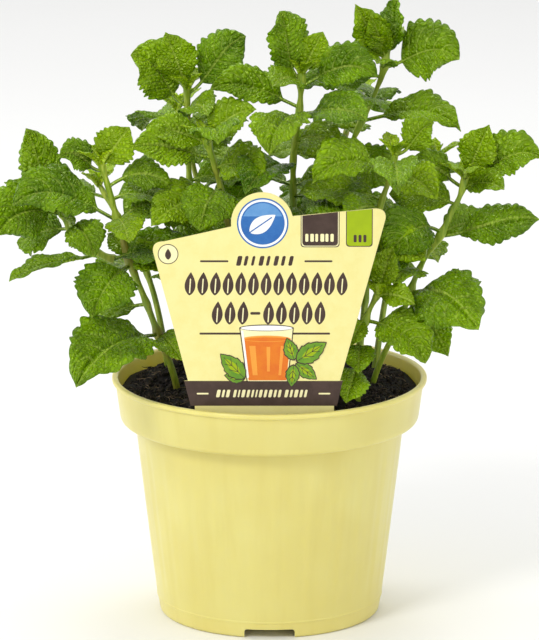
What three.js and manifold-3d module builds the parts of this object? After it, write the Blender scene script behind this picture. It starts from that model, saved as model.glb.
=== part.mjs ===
// Potted mint: a round nursery pot, its potting soil, a push-in plant label and leafy stems.
// Millimetres, +Z up. The origin is the middle of the pot's foot, on the surface it stands on.
import * as THREE from 'three';
import { mergeVertices } from 'three/addons/utils/BufferGeometryUtils.js';
import Module from 'manifold-3d';

const manifold = await Module();
manifold.setup();

// ---------------------------------------------------------------- driving dimensions
const pieceGap = 0.3;

const pot = {
  height: 92,
  rimRadius: 60,
  lipReach: 1.3,
  lipHeight: 1.5,
  collarHeight: 17,
  collarFlare: 1.8,
  collarStep: 5.6,
  bodyTaper: 8.7,
  wall: 1.3,
  floorThickness: 1.4,
  footHeight: 4,
  footFillet: 1.6,
  footWidth: 2.2,
  sides: 48,
};

const drain = { radius: 4, ringRadius: 26, count: 6, sides: 12 };
const notch = { width: 19, count: 3, turn: Math.PI / 2 };

const soil = { crownDepth: -1, edgeDepth: 5.5, wallGap: pieceGap, bedGap: pieceGap };

const label = {
  thickness: 0.8,
  bandLeft: -31.7,
  bandRight: 27.2,
  bandFootLeft: -29.3,
  bandFootRight: 25.1,
  cardFootLeft: -30.3,
  cardFootRight: 26.2,
  bandFoot: 0.8,
  bandTop: 10.4,
  cardLeft: -43,
  cardRight: 42.8,
  leftShoulder: 63.5,
  rightShoulder: 76,
  cornerRadius: 4,
  crestCentre: -2.7,
  crestHeight: 70.6,
  crestRadius: 11.5,
  footLeft: -27.8,
  footRight: 24,
  footDepth: 2.4,
  stakeHalfWidth: 9,
  stakeDepth: 16,
  stakePoint: 7,
};

const stem = { width: 2.6, chamfer: 0.6, steps: 12, depthInSoil: 20 };

const leafBody = { thickness: 1, petioleHalfWidth: 0.9, petioleShare: 0.12, fold: 0.22 };

// Stations along a leaf blade, from the end of its stalk (0) towards its tip (1).
const bladeStations = [0.06, 0.18, 0.32, 0.46, 0.6, 0.74, 0.88];

// ---------------------------------------------------------------- colours
const finishes = {
  pot: { color: 0xe8dc86, roughness: 0.42, metalness: 0 },
  soil: { color: 0x231c18, roughness: 1, metalness: 0 },
  label: { color: 0xf6efa6, roughness: 0.5, metalness: 0 },
  stem: { color: 0x7f9c3a, roughness: 0.6, metalness: 0 },
  leaf: { color: 0x4c8a1e, roughness: 0.5, metalness: 0 },
};

// ---------------------------------------------------------------- the plant
// Points and tips are [x, y, height above the pot's rim], for a pot of the design's own width.
// A stem's first point is in the soil.
const designRimRadius = 60;
const spread = pot.rimRadius / designRimRadius;
const stemPaths = {
  left: [[-33, -6], [-36, -10, 2], [-42, -13, 19], [-47, -16, 34], [-53, -19, 50],
    [-57, -22, 66], [-61, -25, 82], [-63, -26, 89]],
  back_left: [[-22, 14], [-25, 12, 25], [-27, 10, 55], [-30, 8, 69], [-31, 5, 102], [-31, 4, 112]],
  centre_left: [[-12, -8], [-13, -10, 40], [-18, -14, 75], [-24, -18, 97]],
  centre: [[8, 6], [9, 4, 30], [9, 0, 73], [9, -4, 91], [11, -6, 99], [12, -7, 120]],
  tall_right: [[18, 12], [22, 12, 30], [27, 10, 77], [33, 8, 93], [36, 8, 98], [40, 7, 110],
    [44, 6, 118], [45, 6, 127]],
  mid_right: [[32, -14], [35, -18, 24], [41, -24, 71], [45, -26, 82], [47, -27, 93]],
  right: [[36, -4], [40, -5, 1], [51, -9, 27], [53, -10, 35], [58, -12, 48], [64, -14, 57],
    [67, -15, 64], [71, -16, 72], [74, -17, 82]],
  low_right: [[33, -28], [34, -31, 22], [37, -33, 33], [41, -34, 41]],
  rear_left: [[-16, 32], [-22, 40, 40], [-32, 50, 80], [-36, 54, 94]],
  rear_right: [[14, 34], [20, 42, 45], [30, 50, 85], [33, 52, 98]],
  side_left: [[-36, 16], [-46, 22, 32], [-60, 30, 58], [-66, 33, 68]],
  side_right: [[38, 18], [48, 25, 40], [60, 33, 68], [64, 36, 78]],
};

// A side shoot starts clear of the stem that it grows from.
const sideShoot = [[-57.5, -20.5, 50], [-61, -21, 51], [-65, -20, 53], [-71, -18, 57],
  [-76, -16, 63], [-79, -15, 70]];

// Each leaf: height where its stalk meets the stem, tip, rise of its arch, width and roll. The
// roll, in radians, turns the upper face of a leaf that reaches sideways towards the front.
const leafLists = {
  left: [
    { at: 85, tip: [-78, -33, 92], arch: 7, width: 15, roll: 0.9 },
    { at: 80, tip: [-37, -24, 78], arch: 10, width: 15, roll: 0.7 },
    { at: 66, tip: [-95, -38, 75], arch: 14, width: 22, roll: 0.8 },
    { at: 66, tip: [-31, -8, 60], arch: 15, width: 22, roll: 0.8 },
    { at: 47, tip: [-66, -46, 34], arch: 8, width: 24, roll: 0.3 },
    { at: 31, tip: [-67, -8, 17], arch: 6, width: 20, roll: 0.6 },
    { at: 19, tip: [-71, -71, 14], arch: 12, width: 27, roll: 0.5 },
  ],
  side_shoot: [
    { at: 68, tip: [-91, -14, 99], arch: 3, width: 16, roll: 1.4 },
    { at: 66, tip: [-101.5, -32, 62], arch: 11, width: 24, roll: 1.1 },
    { at: 60, tip: [-95, -2, 50], arch: 6, width: 19, roll: 0.9 },
    { at: 62, tip: [-65, -42, 56], arch: 8, width: 15, roll: 0.5 },
    { at: 52, tip: [-97, -38, 46], arch: 3, width: 16, roll: 0 },
  ],
  back_left: [
    { at: 104, tip: [-52, 0, 124], arch: 9, width: 24, roll: 1.2 },
    { at: 109, tip: [-9, 2, 131], arch: 6, width: 20, roll: 1.2 },
  ],
  centre_left: [
    { at: 94, tip: [-19, -46, 100], arch: 10, width: 19, roll: 0.2 },
    { at: 88, tip: [-51, -30, 95], arch: 5, width: 18, roll: 0.9 },
    { at: 76, tip: [-26, -42, 66], arch: 8, width: 22, roll: 0.2 },
  ],
  centre: [
    { at: 117, tip: [4, -11, 143], arch: 1, width: 20, roll: 1.4 },
    { at: 114, tip: [40, -16, 119], arch: 11, width: 19, roll: 0.9 },
    { at: 103, tip: [36, -38, 107], arch: 6, width: 18, roll: 0.6 },
    { at: 106, tip: [-22, -14, 114], arch: 8, width: 16, roll: 0.9 },
    { at: 100, tip: [0, -42, 95], arch: 13, width: 22, roll: 0 },
    { at: 82, tip: [-9, -42, 80], arch: 9, width: 20, roll: 0.2 },
    { at: 70, tip: [33, -38, 69], arch: 8, width: 21, roll: 0.6 },
  ],
  tall_right: [
    { at: 125, tip: [48, 3, 145], arch: 1, width: 14, roll: 1.4 },
    { at: 118, tip: [71, -2, 123], arch: 10, width: 24, roll: 1.1 },
    { at: 97, tip: [72, -4, 96], arch: 12, width: 18, roll: 0.5 },
  ],
  mid_right: [
    { at: 84, tip: [16, -41, 84], arch: 14, width: 20, roll: 0.6 },
    { at: 88, tip: [47, -70, 86], arch: 9, width: 18, roll: 0 },
    { at: 92, tip: [61, -27, 104], arch: 3, width: 15, roll: 1 },
  ],
  right: [
    { at: 78, tip: [52, -22, 86], arch: 7, width: 15, roll: 0.9 },
    { at: 80, tip: [101.5, -20, 89], arch: 9, width: 18, roll: 1 },
    { at: 57, tip: [101, -22, 66], arch: 4, width: 18, roll: 0.8 },
    { at: 60, tip: [44, -32, 53], arch: 12, width: 22, roll: 0.7 },
    { at: 35, tip: [77, -60, 33], arch: 13, width: 27, roll: 0.6 },
  ],
  low_right: [
    { at: 29, tip: [58, -48, 17], arch: 8, width: 20, roll: 0.5 },
  ],
  rear_left: [
    { at: 88, tip: [-50, 72, 80], arch: 8, width: 24, roll: 0.1 },
    { at: 62, tip: [-8, 70, 60], arch: 10, width: 24, roll: 0 },
  ],
  rear_right: [
    { at: 92, tip: [48, 72, 84], arch: 9, width: 24, roll: 0.1 },
    { at: 62, tip: [10, 72, 50], arch: 9, width: 22, roll: 0 },
  ],
  side_left: [
    { at: 62, tip: [-86, 44, 56], arch: 9, width: 23, roll: 0 },
    { at: 34, tip: [-60, 60, 24], arch: 10, width: 24, roll: 0 },
  ],
  side_right: [
    { at: 70, tip: [88, 46, 62], arch: 9, width: 23, roll: 0 },
    { at: 40, tip: [66, 60, 30], arch: 9, width: 22, roll: 0 },
  ],
};

// ---------------------------------------------------------------- geometry helpers
const up = new THREE.Vector3(0, 0, 1);

function toSolid(geometry) {
  const bare = geometry.clone();
  bare.deleteAttribute('normal');
  bare.deleteAttribute('uv');
  const merged = mergeVertices(bare, 1e-4);
  return new manifold.Manifold(new manifold.Mesh({
    numProp: 3,
    vertProperties: new Float32Array(merged.attributes.position.array),
    triVerts: new Uint32Array(merged.index.array),
  }));
}

function toGeometry(solid) {
  const mesh = solid.getMesh();
  const geometry = new THREE.BufferGeometry();
  geometry.setAttribute('position', new THREE.BufferAttribute(mesh.vertProperties, 3));
  geometry.setIndex(new THREE.BufferAttribute(mesh.triVerts, 1));
  geometry.computeVertexNormals();
  return geometry;
}

function cut(solid, geometries) {
  return geometries.reduce((rest, geometry) => rest.subtract(toSolid(geometry)), solid);
}

// A lathe profile is given as [radius, height] and turned about the Z axis.
function turned(profile, sides) {
  const points = profile.map(([radius, height]) => new THREE.Vector2(radius, height));
  const geometry = new THREE.LatheGeometry(points, sides);
  geometry.rotateX(Math.PI / 2);
  return geometry;
}

function namedMesh(name, geometry, finish) {
  const mesh = new THREE.Mesh(geometry, new THREE.MeshStandardMaterial(finish));
  mesh.name = name;
  return mesh;
}

// ---------------------------------------------------------------- pot
const collarFoot = pot.height - pot.collarHeight;
const collarTopRadius = pot.rimRadius - pot.lipReach;
const collarFootRadius = collarTopRadius - pot.collarFlare;
const bodyTopRadius = collarFootRadius - pot.collarStep;
const bodyFootRadius = bodyTopRadius - pot.bodyTaper;

// Radius of the pot's outside below the collar.
function bodyRadius(height) {
  return bodyFootRadius + pot.bodyTaper * height / collarFoot;
}

// Radius of the pot's inside at a height above the inner step.
function collarInnerRadius(height) {
  const share = (height - collarFoot) / pot.collarHeight;
  return collarFootRadius + share * pot.collarFlare - pot.wall;
}

const floorTop = pot.footHeight + pot.floorThickness;
const innerStepFoot = collarFoot + pot.wall;
const innerStepTop = innerStepFoot + pot.wall / 2;

function potProfile() {
  const footInner = bodyFootRadius - pot.footFillet - pot.footWidth;
  const lipFoot = pot.height - pot.lipHeight;
  return [
    [0, pot.footHeight],
    [footInner, pot.footHeight],
    [footInner, 0],
    [bodyFootRadius - pot.footFillet, 0],
    [bodyRadius(0) - pot.footFillet * 0.3, pot.footFillet * 0.3],
    [bodyRadius(pot.footFillet), pot.footFillet],
    [bodyTopRadius, collarFoot],
    [collarFootRadius - 0.8, collarFoot],
    [collarFootRadius, collarFoot + 0.8],
    [collarTopRadius, lipFoot - 0.4],
    [pot.rimRadius, lipFoot + 0.3],
    [pot.rimRadius, pot.height - 0.4],
    [pot.rimRadius - 0.4, pot.height],
    [collarInnerRadius(pot.height), pot.height],
    [collarInnerRadius(innerStepTop), innerStepTop],
    [bodyRadius(innerStepFoot) - pot.wall, innerStepFoot],
    [bodyRadius(floorTop) - pot.wall, floorTop],
    [0, floorTop],
  ];
}

function drainHole(index) {
  const hole = new THREE.CylinderGeometry(drain.radius, drain.radius, pot.height, drain.sides);
  const angle = (index + 0.5) / drain.count * 2 * Math.PI;
  hole.rotateX(Math.PI / 2);
  hole.translate(drain.ringRadius * Math.cos(angle), drain.ringRadius * Math.sin(angle), 0);
  return hole;
}

function footNotch(index) {
  const depth = 4 * pot.footWidth + 2 * pot.footFillet;
  const height = pot.footHeight - 0.4;
  const block = new THREE.BoxGeometry(depth, notch.width, 2 * height);
  const angle = -notch.turn + index / notch.count * 2 * Math.PI;
  block.translate(bodyFootRadius, 0, 0);
  block.rotateZ(angle);
  return block;
}

function potGeometry() {
  const holes = Array.from({ length: drain.count }, (_, index) => drainHole(index));
  const notches = Array.from({ length: notch.count }, (_, index) => footNotch(index));
  return toGeometry(cut(toSolid(turned(potProfile(), pot.sides)), [...holes, ...notches]));
}

// ---------------------------------------------------------------- stems
// A square section with blunt corners, as a mint stem has.
function stemSection(width) {
  const half = width / 2;
  const flat = half - stem.chamfer;
  const corners = [[half, flat], [flat, half], [-flat, half], [-half, flat],
    [-half, -flat], [-flat, -half], [flat, -half], [half, -flat]];
  return new THREE.Shape(corners.map(([x, y]) => new THREE.Vector2(x, y)));
}

function stemCurve(points, depth = stem.depthInSoil) {
  const path = points.map(([x, y, z = -depth]) => {
    return new THREE.Vector3(spread * x, spread * y, z);
  });
  return new THREE.CatmullRomCurve3(path);
}

function stemGeometry(curve, width) {
  const options = { steps: stem.steps, extrudePath: curve, bevelEnabled: false };
  return new THREE.ExtrudeGeometry(stemSection(width), options);
}

// The point of a rising stem at a height.
function pointAtHeight(curve, height) {
  let low = 0;
  let high = 1;
  while (high - low > 1e-4) {
    const middle = (low + high) / 2;
    if (curve.getPoint(middle).z < height) low = middle;
    else high = middle;
  }
  return curve.getPoint(high);
}

// ---------------------------------------------------------------- leaves
// Half the width of an ovate blade, as a share of its greatest half width.
function bladeShape(share) {
  return Math.sin(Math.PI * share ** 0.75) ** 0.85;
}

function leafCurve(stemPoint, tip, arch) {
  const outward = new THREE.Vector3(tip.x - stemPoint.x, tip.y - stemPoint.y, 0).normalize();
  const clear = stem.width / Math.SQRT2 + pieceGap + leafBody.petioleHalfWidth;
  const base = stemPoint.clone().addScaledVector(outward, clear);
  const control = base.clone().add(tip).multiplyScalar(0.5).addScaledVector(up, arch);
  return new THREE.QuadraticBezierCurve3(base, control, tip);
}

// Four points round the leaf: left edge, top of the midrib, right edge, under the midrib.
function leafRing(curve, share, halfWidth, thickness, roll, fold) {
  const centre = curve.getPoint(share);
  const along = curve.getTangent(share);
  const reach = curve.v2.clone().sub(curve.v0);
  const side = new THREE.Vector3(reach.y, -reach.x, 0).normalize();
  side.applyAxisAngle(along, roll);
  const above = side.clone().cross(along);
  const edge = centre.clone().addScaledVector(above, halfWidth * fold);
  return [
    edge.clone().addScaledVector(side, -halfWidth),
    centre.clone().addScaledVector(above, thickness / 2),
    edge.clone().addScaledVector(side, halfWidth),
    centre.clone().addScaledVector(above, -thickness / 2),
  ];
}

function leafGeometry(curve, width, roll) {
  const stalk = leafBody.petioleHalfWidth;
  const stalkEnd = leafBody.petioleShare;
  const rings = [
    leafRing(curve, 0, stalk, 2 * stalk, 0, 0),
    leafRing(curve, stalkEnd, stalk, 2 * stalk, roll / 2, 0),
  ];
  for (const station of bladeStations) {
    const share = stalkEnd + (1 - stalkEnd) * station;
    const halfWidth = width / 2 * bladeShape(station);
    rings.push(leafRing(curve, share, halfWidth, leafBody.thickness, roll, leafBody.fold));
  }
  return closedLoft(rings, curve.getPoint(0), curve.getPoint(1));
}

// A closed skin over rings of four points, with a middle point at each end.
function closedLoft(rings, startPoint, endPoint) {
  const points = [...rings.flat(), startPoint, endPoint];
  const start = points.length - 2;
  const end = points.length - 1;
  const faces = [];
  for (let side = 0; side < 4; side += 1) {
    const next = (side + 1) % 4;
    faces.push(start, next, side);
    for (let ring = 0; ring < rings.length - 1; ring += 1) {
      const low = 4 * ring;
      const high = low + 4;
      faces.push(low + side, low + next, high + side);
      faces.push(low + next, high + next, high + side);
    }
    const last = 4 * (rings.length - 1);
    faces.push(last + side, last + next, end);
  }
  const geometry = new THREE.BufferGeometry().setFromPoints(points);
  geometry.setIndex(faces);
  geometry.computeVertexNormals();
  return geometry;
}

// ---------------------------------------------------------------- label
const labelInnerRadius = collarInnerRadius(pot.height - soil.edgeDepth) - soil.wallGap;
const labelHalfFoot = Math.max(-label.footLeft, label.footRight);
const stakeInnerRadius = bodyRadius(pot.height - label.stakeDepth) - pot.wall - pieceGap;
const footSeat = Math.sqrt(labelInnerRadius ** 2 - labelHalfFoot ** 2);
const stakeSeat = Math.sqrt(stakeInnerRadius ** 2 - label.stakeHalfWidth ** 2);
const labelPlace = label.thickness / 2 - Math.min(footSeat, stakeSeat);

// The card's outline, seen from the front, with its height measured from the pot's rim.
function labelOutline() {
  const shape = new THREE.Shape();
  const crestStart = Math.PI * 1.04;
  const crestEnd = Math.PI * 0.07;
  shape.moveTo(0, -label.stakeDepth);
  shape.lineTo(label.stakeHalfWidth, label.stakePoint - label.stakeDepth);
  shape.lineTo(label.stakeHalfWidth, -label.footDepth);
  shape.lineTo(label.footRight, -label.footDepth);
  shape.lineTo(label.footRight, label.bandFoot);
  shape.lineTo(label.bandFootRight, label.bandFoot);
  shape.lineTo(label.bandRight, label.bandTop);
  shape.lineTo(label.cardFootRight, label.bandTop);
  shape.lineTo(label.cardRight, label.rightShoulder - label.cornerRadius);
  shape.quadraticCurveTo(label.cardRight + 0.6, label.rightShoulder,
    label.cardRight - label.cornerRadius, label.rightShoulder);
  shape.absarc(label.crestCentre, label.crestHeight, label.crestRadius, crestEnd, crestStart, false);
  shape.lineTo(label.cardLeft + label.cornerRadius, label.leftShoulder);
  shape.quadraticCurveTo(label.cardLeft - 0.6, label.leftShoulder,
    label.cardLeft, label.leftShoulder - label.cornerRadius);
  shape.lineTo(label.cardFootLeft, label.bandTop);
  shape.lineTo(label.bandLeft, label.bandTop);
  shape.lineTo(label.bandFootLeft, label.bandFoot);
  shape.lineTo(label.footLeft, label.bandFoot);
  shape.lineTo(label.footLeft, -label.footDepth);
  shape.lineTo(-label.stakeHalfWidth, -label.footDepth);
  shape.lineTo(-label.stakeHalfWidth, label.stakePoint - label.stakeDepth);
  return shape;
}

function labelGeometry() {
  const options = { depth: label.thickness, bevelEnabled: false, curveSegments: 16 };
  const card = new THREE.ExtrudeGeometry(labelOutline(), options);
  card.translate(0, 0, -label.thickness / 2);
  card.rotateX(Math.PI / 2);
  card.translate(0, labelPlace, pot.height);
  return card;
}

// ---------------------------------------------------------------- soil
function soilProfile() {
  const edge = pot.height - soil.edgeDepth;
  const crown = pot.height - soil.crownDepth;
  const inner = collarInnerRadius(edge) - soil.wallGap;
  const dome = [0.25, 0.5, 0.75].map((share) => {
    return [inner * share, crown - (crown - edge) * share ** 2];
  });
  return [
    [0, floorTop + soil.bedGap],
    [bodyRadius(floorTop) - pot.wall - soil.wallGap, floorTop + soil.bedGap],
    [bodyRadius(innerStepFoot) - pot.wall - soil.wallGap, innerStepFoot + soil.bedGap],
    [collarInnerRadius(innerStepTop) - soil.wallGap, innerStepTop + soil.bedGap],
    [inner, edge],
    ...dome.reverse(),
    [0, crown],
  ];
}

// The slot that the label's stake is pushed into.
function stakeSlot() {
  const width = 2 * (label.stakeHalfWidth + pieceGap);
  const slot = new THREE.BoxGeometry(width, label.thickness + 2 * pieceGap, 2 * label.stakeDepth);
  slot.translate(0, labelPlace, pot.height - pieceGap);
  return slot;
}

function soilGeometry(stemSockets) {
  return toGeometry(cut(toSolid(turned(soilProfile(), pot.sides)), [stakeSlot(), ...stemSockets]));
}

// ---------------------------------------------------------------- assembly
const plantGroup = new THREE.Group();
plantGroup.position.z = pot.height;

const stemCurves = { side_shoot: stemCurve(sideShoot) };
const stemSockets = [];
for (const [name, points] of Object.entries(stemPaths)) {
  stemCurves[name] = stemCurve(points);
  const socketCurve = stemCurve(points, stem.depthInSoil + pieceGap);
  const socket = stemGeometry(socketCurve, stem.width + 2 * pieceGap);
  socket.translate(0, 0, pot.height);
  stemSockets.push(socket);
}

for (const [name, curve] of Object.entries(stemCurves)) {
  plantGroup.add(namedMesh(`stem_${name}`, stemGeometry(curve, stem.width), finishes.stem));
  leafLists[name].forEach((leaf, index) => {
    const tip = new THREE.Vector3(spread * leaf.tip[0], spread * leaf.tip[1], leaf.tip[2]);
    const curveOfLeaf = leafCurve(pointAtHeight(curve, leaf.at), tip, leaf.arch);
    const roll = leaf.roll * Math.sign(tip.x - curveOfLeaf.v0.x);
    const geometry = leafGeometry(curveOfLeaf, leaf.width, roll);
    plantGroup.add(namedMesh(`leaf_${name}_${index + 1}`, geometry, finishes.leaf));
  });
}

const group = new THREE.Group();
group.add(namedMesh('pot', potGeometry(), finishes.pot));
group.add(namedMesh('potting_soil', soilGeometry(stemSockets), finishes.soil));
group.add(namedMesh('plant_label', labelGeometry(), finishes.label));
group.add(plantGroup);

export default group;
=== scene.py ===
"""Potted mint plant: a nursery pot, its soil, leafy square stems and a printed plant label.

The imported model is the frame. Each CAD leaf and stem is read back from its node as a line with
a width, and a finer leaf or stem is grown along that line. Lengths are in metres, +Z is up.
"""
import logging
import math
from dataclasses import dataclass, field
from enum import Enum

import bmesh
import bpy
import numpy as np
from bpy.types import ID, Material, Mesh, Node, NodeSocket, NodeTree, Object
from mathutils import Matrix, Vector


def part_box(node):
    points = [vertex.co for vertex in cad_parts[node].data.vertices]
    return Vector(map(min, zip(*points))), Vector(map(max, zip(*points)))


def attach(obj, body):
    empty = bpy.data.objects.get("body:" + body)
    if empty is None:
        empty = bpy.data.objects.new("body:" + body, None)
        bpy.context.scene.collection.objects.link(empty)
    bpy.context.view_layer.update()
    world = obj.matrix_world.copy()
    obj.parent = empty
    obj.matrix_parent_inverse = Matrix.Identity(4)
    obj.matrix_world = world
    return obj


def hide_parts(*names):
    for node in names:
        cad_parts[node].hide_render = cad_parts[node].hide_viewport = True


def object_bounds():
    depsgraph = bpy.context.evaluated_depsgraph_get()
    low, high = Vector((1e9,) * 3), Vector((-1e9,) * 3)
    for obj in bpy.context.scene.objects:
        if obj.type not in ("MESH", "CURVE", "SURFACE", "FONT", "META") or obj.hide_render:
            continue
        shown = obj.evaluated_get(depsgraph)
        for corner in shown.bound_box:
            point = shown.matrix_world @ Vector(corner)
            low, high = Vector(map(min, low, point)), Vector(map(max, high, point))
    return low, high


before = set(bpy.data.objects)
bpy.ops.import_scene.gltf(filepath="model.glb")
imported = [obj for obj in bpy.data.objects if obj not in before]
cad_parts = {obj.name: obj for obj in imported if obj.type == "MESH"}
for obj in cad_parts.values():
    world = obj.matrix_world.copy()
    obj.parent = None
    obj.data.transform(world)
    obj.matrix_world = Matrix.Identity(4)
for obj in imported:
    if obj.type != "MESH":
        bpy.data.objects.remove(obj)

CAD_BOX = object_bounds()
Array = np.ndarray
MM = 0.001
ROOT = "root"

log = logging.getLogger("mint")


# ---- the frame, read back
def node_box(name: str) -> tuple[Array, Array]:
    """Return a CAD node's box.

    Args:
        name: the node's name.

    Returns:
        Its lowest and its highest corner.
    """
    low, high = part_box(name)
    return np.array(low), np.array(high)


def nodes_named(start: str) -> list[str]:
    """Return the names of the CAD nodes that begin with some letters.

    Args:
        start: how the names begin.

    Returns:
        The names, sorted.
    """
    return sorted(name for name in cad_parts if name.startswith(start))


def unit(vectors: Array) -> Array:
    """Return vectors at length one.

    Args:
        vectors: an array whose last axis is x, y, z.

    Returns:
        The same directions, each of length one.
    """
    return vectors / np.maximum(np.linalg.norm(vectors, axis=-1, keepdims=True), 1e-12)


def smooth_step(low: float, high: float, value: Array) -> Array:
    """Return 0 below low, 1 above high and a smooth rise between them.

    Args:
        low: where the rise starts.
        high: where the rise ends.
        value: the values to map.

    Returns:
        The mapped values.
    """
    share = np.clip((value - low) / (high - low), 0, 1)
    return share * share * (3 - 2 * share)


def along_knots(places: Array, knots: Array, rows: Array) -> Array:
    """Interpolate rows of three numbers.

    Args:
        places: where to interpolate, in the knots' units.
        knots: the place of each row.
        rows: the three numbers at each knot.

    Returns:
        The three numbers at each place.
    """
    return np.stack([np.interp(places, knots, rows[:, k]) for k in range(3)], axis=-1)


def step_lengths(points: Array) -> Array:
    """Return the distances between neighbouring points of a line.

    Args:
        points: the line.

    Returns:
        One length less than there are points.
    """
    return np.linalg.norm(np.diff(points, axis=0), axis=1)


def arc_points(start: Array, control: Array, end: Array, share: Array | float) -> Array:
    """Return points of a curve that bends towards a control point.

    Args:
        start: its first point.
        control: its control point.
        end: its last point.
        share: the share of the way from the start to the end.

    Returns:
        The points.
    """
    return (1 - share) ** 2 * start + 2 * share * (1 - share) * control + share ** 2 * end


class PackedMesh:
    """A CAD node's mesh with its loose triangles joined at shared points."""

    def __init__(self, name: str) -> None:
        """Read the node.

        Args:
            name: the node's name.
        """
        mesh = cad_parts[name].data
        loose = np.empty(len(mesh.vertices) * 3)
        mesh.vertices.foreach_get("co", loose)
        keys = np.round(loose.reshape(-1, 3), 6)
        self.points, places = np.unique(keys, axis=0, return_inverse=True)
        mesh.calc_loop_triangles()
        corners = np.empty(len(mesh.loop_triangles) * 3, dtype=np.int32)
        mesh.loop_triangles.foreach_get("vertices", corners)
        self.triangles = places.reshape(-1)[corners].reshape(-1, 3)

    def rings(self, least: int = 24) -> Array:
        """Find the rings of points about the Z axis.

        Args:
            least: how many points make a ring.

        Returns:
            The radius and the height of each ring, sorted by radius.
        """
        radii = np.hypot(self.points[:, 0], self.points[:, 1])
        places = np.round(np.stack([radii, self.points[:, 2]], axis=1), 5)
        found, counts = np.unique(places, axis=0, return_counts=True)
        return found[counts >= least]

    def neighbours(self) -> list[set[int]]:
        """Find out which points share an edge.

        Returns:
            The neighbours of each point.
        """
        near: list[set[int]] = [set() for _ in self.points]
        for a, b, c in self.triangles:
            near[a].update((b, c))
            near[b].update((a, c))
            near[c].update((a, b))
        return near

    def layers(self) -> list[Array]:
        """Take a leaf solid apart into rings of points.

        Both ends are points with four neighbours, and the stalk's end has much closer ones.

        Returns:
            The rings, from the middle of the cut stalk to the tip.
        """
        near = self.neighbours()
        ends = [i for i, around in enumerate(near) if len(around) == 4]
        reach = {i: np.linalg.norm(self.points[list(near[i])] - self.points[i], axis=1).mean()
                 for i in ends}
        layer = {min(ends, key=lambda i: reach[i])}
        seen = set(layer)
        found = []
        while layer:
            found.append(self.points[sorted(layer)])
            layer = {j for i in layer for j in near[i]} - seen
            seen |= layer
        return found

    def centre_line(self, count: int) -> Array:
        """Return points along the middle of a rod, sliced across its longest side.

        Args:
            count: how many slices.

        Returns:
            The middle of each slice, from the low end to the high end.
        """
        low, high = self.points.min(axis=0), self.points.max(axis=0)
        axis = int(np.argmax(high - low))
        edges = np.vstack([self.triangles[:, [0, 1]], self.triangles[:, [1, 2]],
                           self.triangles[:, [2, 0]]])
        starts, ends = self.points[edges[:, 0]], self.points[edges[:, 1]]
        margin = 1.5 * MM
        line = []
        for level in np.linspace(low[axis] + margin, high[axis] - margin, count):
            crossing = (starts[:, axis] - level) * (ends[:, axis] - level) < 0
            a, b = starts[crossing], ends[crossing]
            share = ((level - a[:, axis]) / (b[:, axis] - a[:, axis]))[:, None]
            cut = a + share * (b - a)
            line.append((cut.min(axis=0) + cut.max(axis=0)) / 2)
        line = np.array(line)
        return line if line[0, 2] < line[-1, 2] else line[::-1]


# ---- meshes
def link(name: str, data: ID) -> Object:
    """Put a mesh, a lamp or a camera into the scene.

    Args:
        name: the new object's name.
        data: the mesh, the lamp or the camera.

    Returns:
        The object.
    """
    thing = bpy.data.objects.new(name, data)
    bpy.context.scene.collection.objects.link(thing)
    return thing


def shade_smooth(mesh: Mesh) -> None:
    """Shade every face smooth.

    Args:
        mesh: the mesh to change.
    """
    mesh.polygons.foreach_set("use_smooth", np.ones(len(mesh.polygons), dtype=bool))
    mesh.update()


def mesh_from_bmesh(name: str, work: bmesh.types.BMesh) -> Object:
    """Turn a bmesh into an object and free it.

    Args:
        name: the new object's name.
        work: the bmesh, whose doubles are merged and whose faces are turned outwards.

    Returns:
        The object.
    """
    bmesh.ops.remove_doubles(work, verts=work.verts, dist=1e-6)
    bmesh.ops.recalc_face_normals(work, faces=work.faces)
    mesh = bpy.data.meshes.new(name)
    work.to_mesh(mesh)
    work.free()
    return link(name, mesh)


def bmesh_of(points: Array, faces: list[list[int]]) -> bmesh.types.BMesh:
    """Turn points and faces into a bmesh.

    Args:
        points: the points.
        faces: the corners of each face.

    Returns:
        The bmesh.
    """
    mesh = bpy.data.meshes.new("unfinished")
    mesh.from_pydata(points.tolist(), [], faces)
    work = bmesh.new()
    work.from_mesh(mesh)
    bpy.data.meshes.remove(mesh)
    return work


def tube_faces(rows: int, columns: int) -> tuple[Array, Array]:
    """Join rings of points into a tube that is open at both ends.

    Args:
        rows: how many rings.
        columns: how many points each ring has.

    Returns:
        The number of each point, one row for each ring, and the corners of each face.
    """
    index = np.arange(rows * columns).reshape(rows, columns)
    after = np.roll(index, -1, axis=1)
    faces = np.stack([index[:-1], after[:-1], after[1:], index[1:]], axis=-1)
    return index, faces.reshape(-1, 4)


def apply_modifiers(thing: Object) -> None:
    """Turn an object's modifiers into plain mesh and remove them.

    Args:
        thing: the object.
    """
    graph = bpy.context.evaluated_depsgraph_get()
    mesh = bpy.data.meshes.new_from_object(thing.evaluated_get(graph), depsgraph=graph)
    thing.modifiers.clear()
    thing.data = mesh


def finish_piece(thing: Object, materials: list[Material],
                 nodes: tuple[str, ...] = ()) -> None:
    """Dress a piece and tell the frame about it.

    Args:
        thing: the piece.
        materials: its materials, in the order of the faces' indices.
        nodes: the CAD nodes that it stands for.
    """
    thing.data.materials.clear()
    for material in materials:
        thing.data.materials.append(material)
    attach(thing, ROOT)
    if nodes:
        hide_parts(*nodes)


# ---- materials
Colour = tuple[float, float, float]


def srgb(red: int, green: int, blue: int) -> Colour:
    """Return a screen colour as linear light.

    Args:
        red: from 0 to 255.
        green: from 0 to 255.
        blue: from 0 to 255.

    Returns:
        The linear colour.
    """
    share = np.array([red, green, blue]) / 255
    linear = np.where(share <= 0.04045, share / 12.92, ((share + 0.055) / 1.055) ** 2.4)
    return tuple(linear.tolist())


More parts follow.
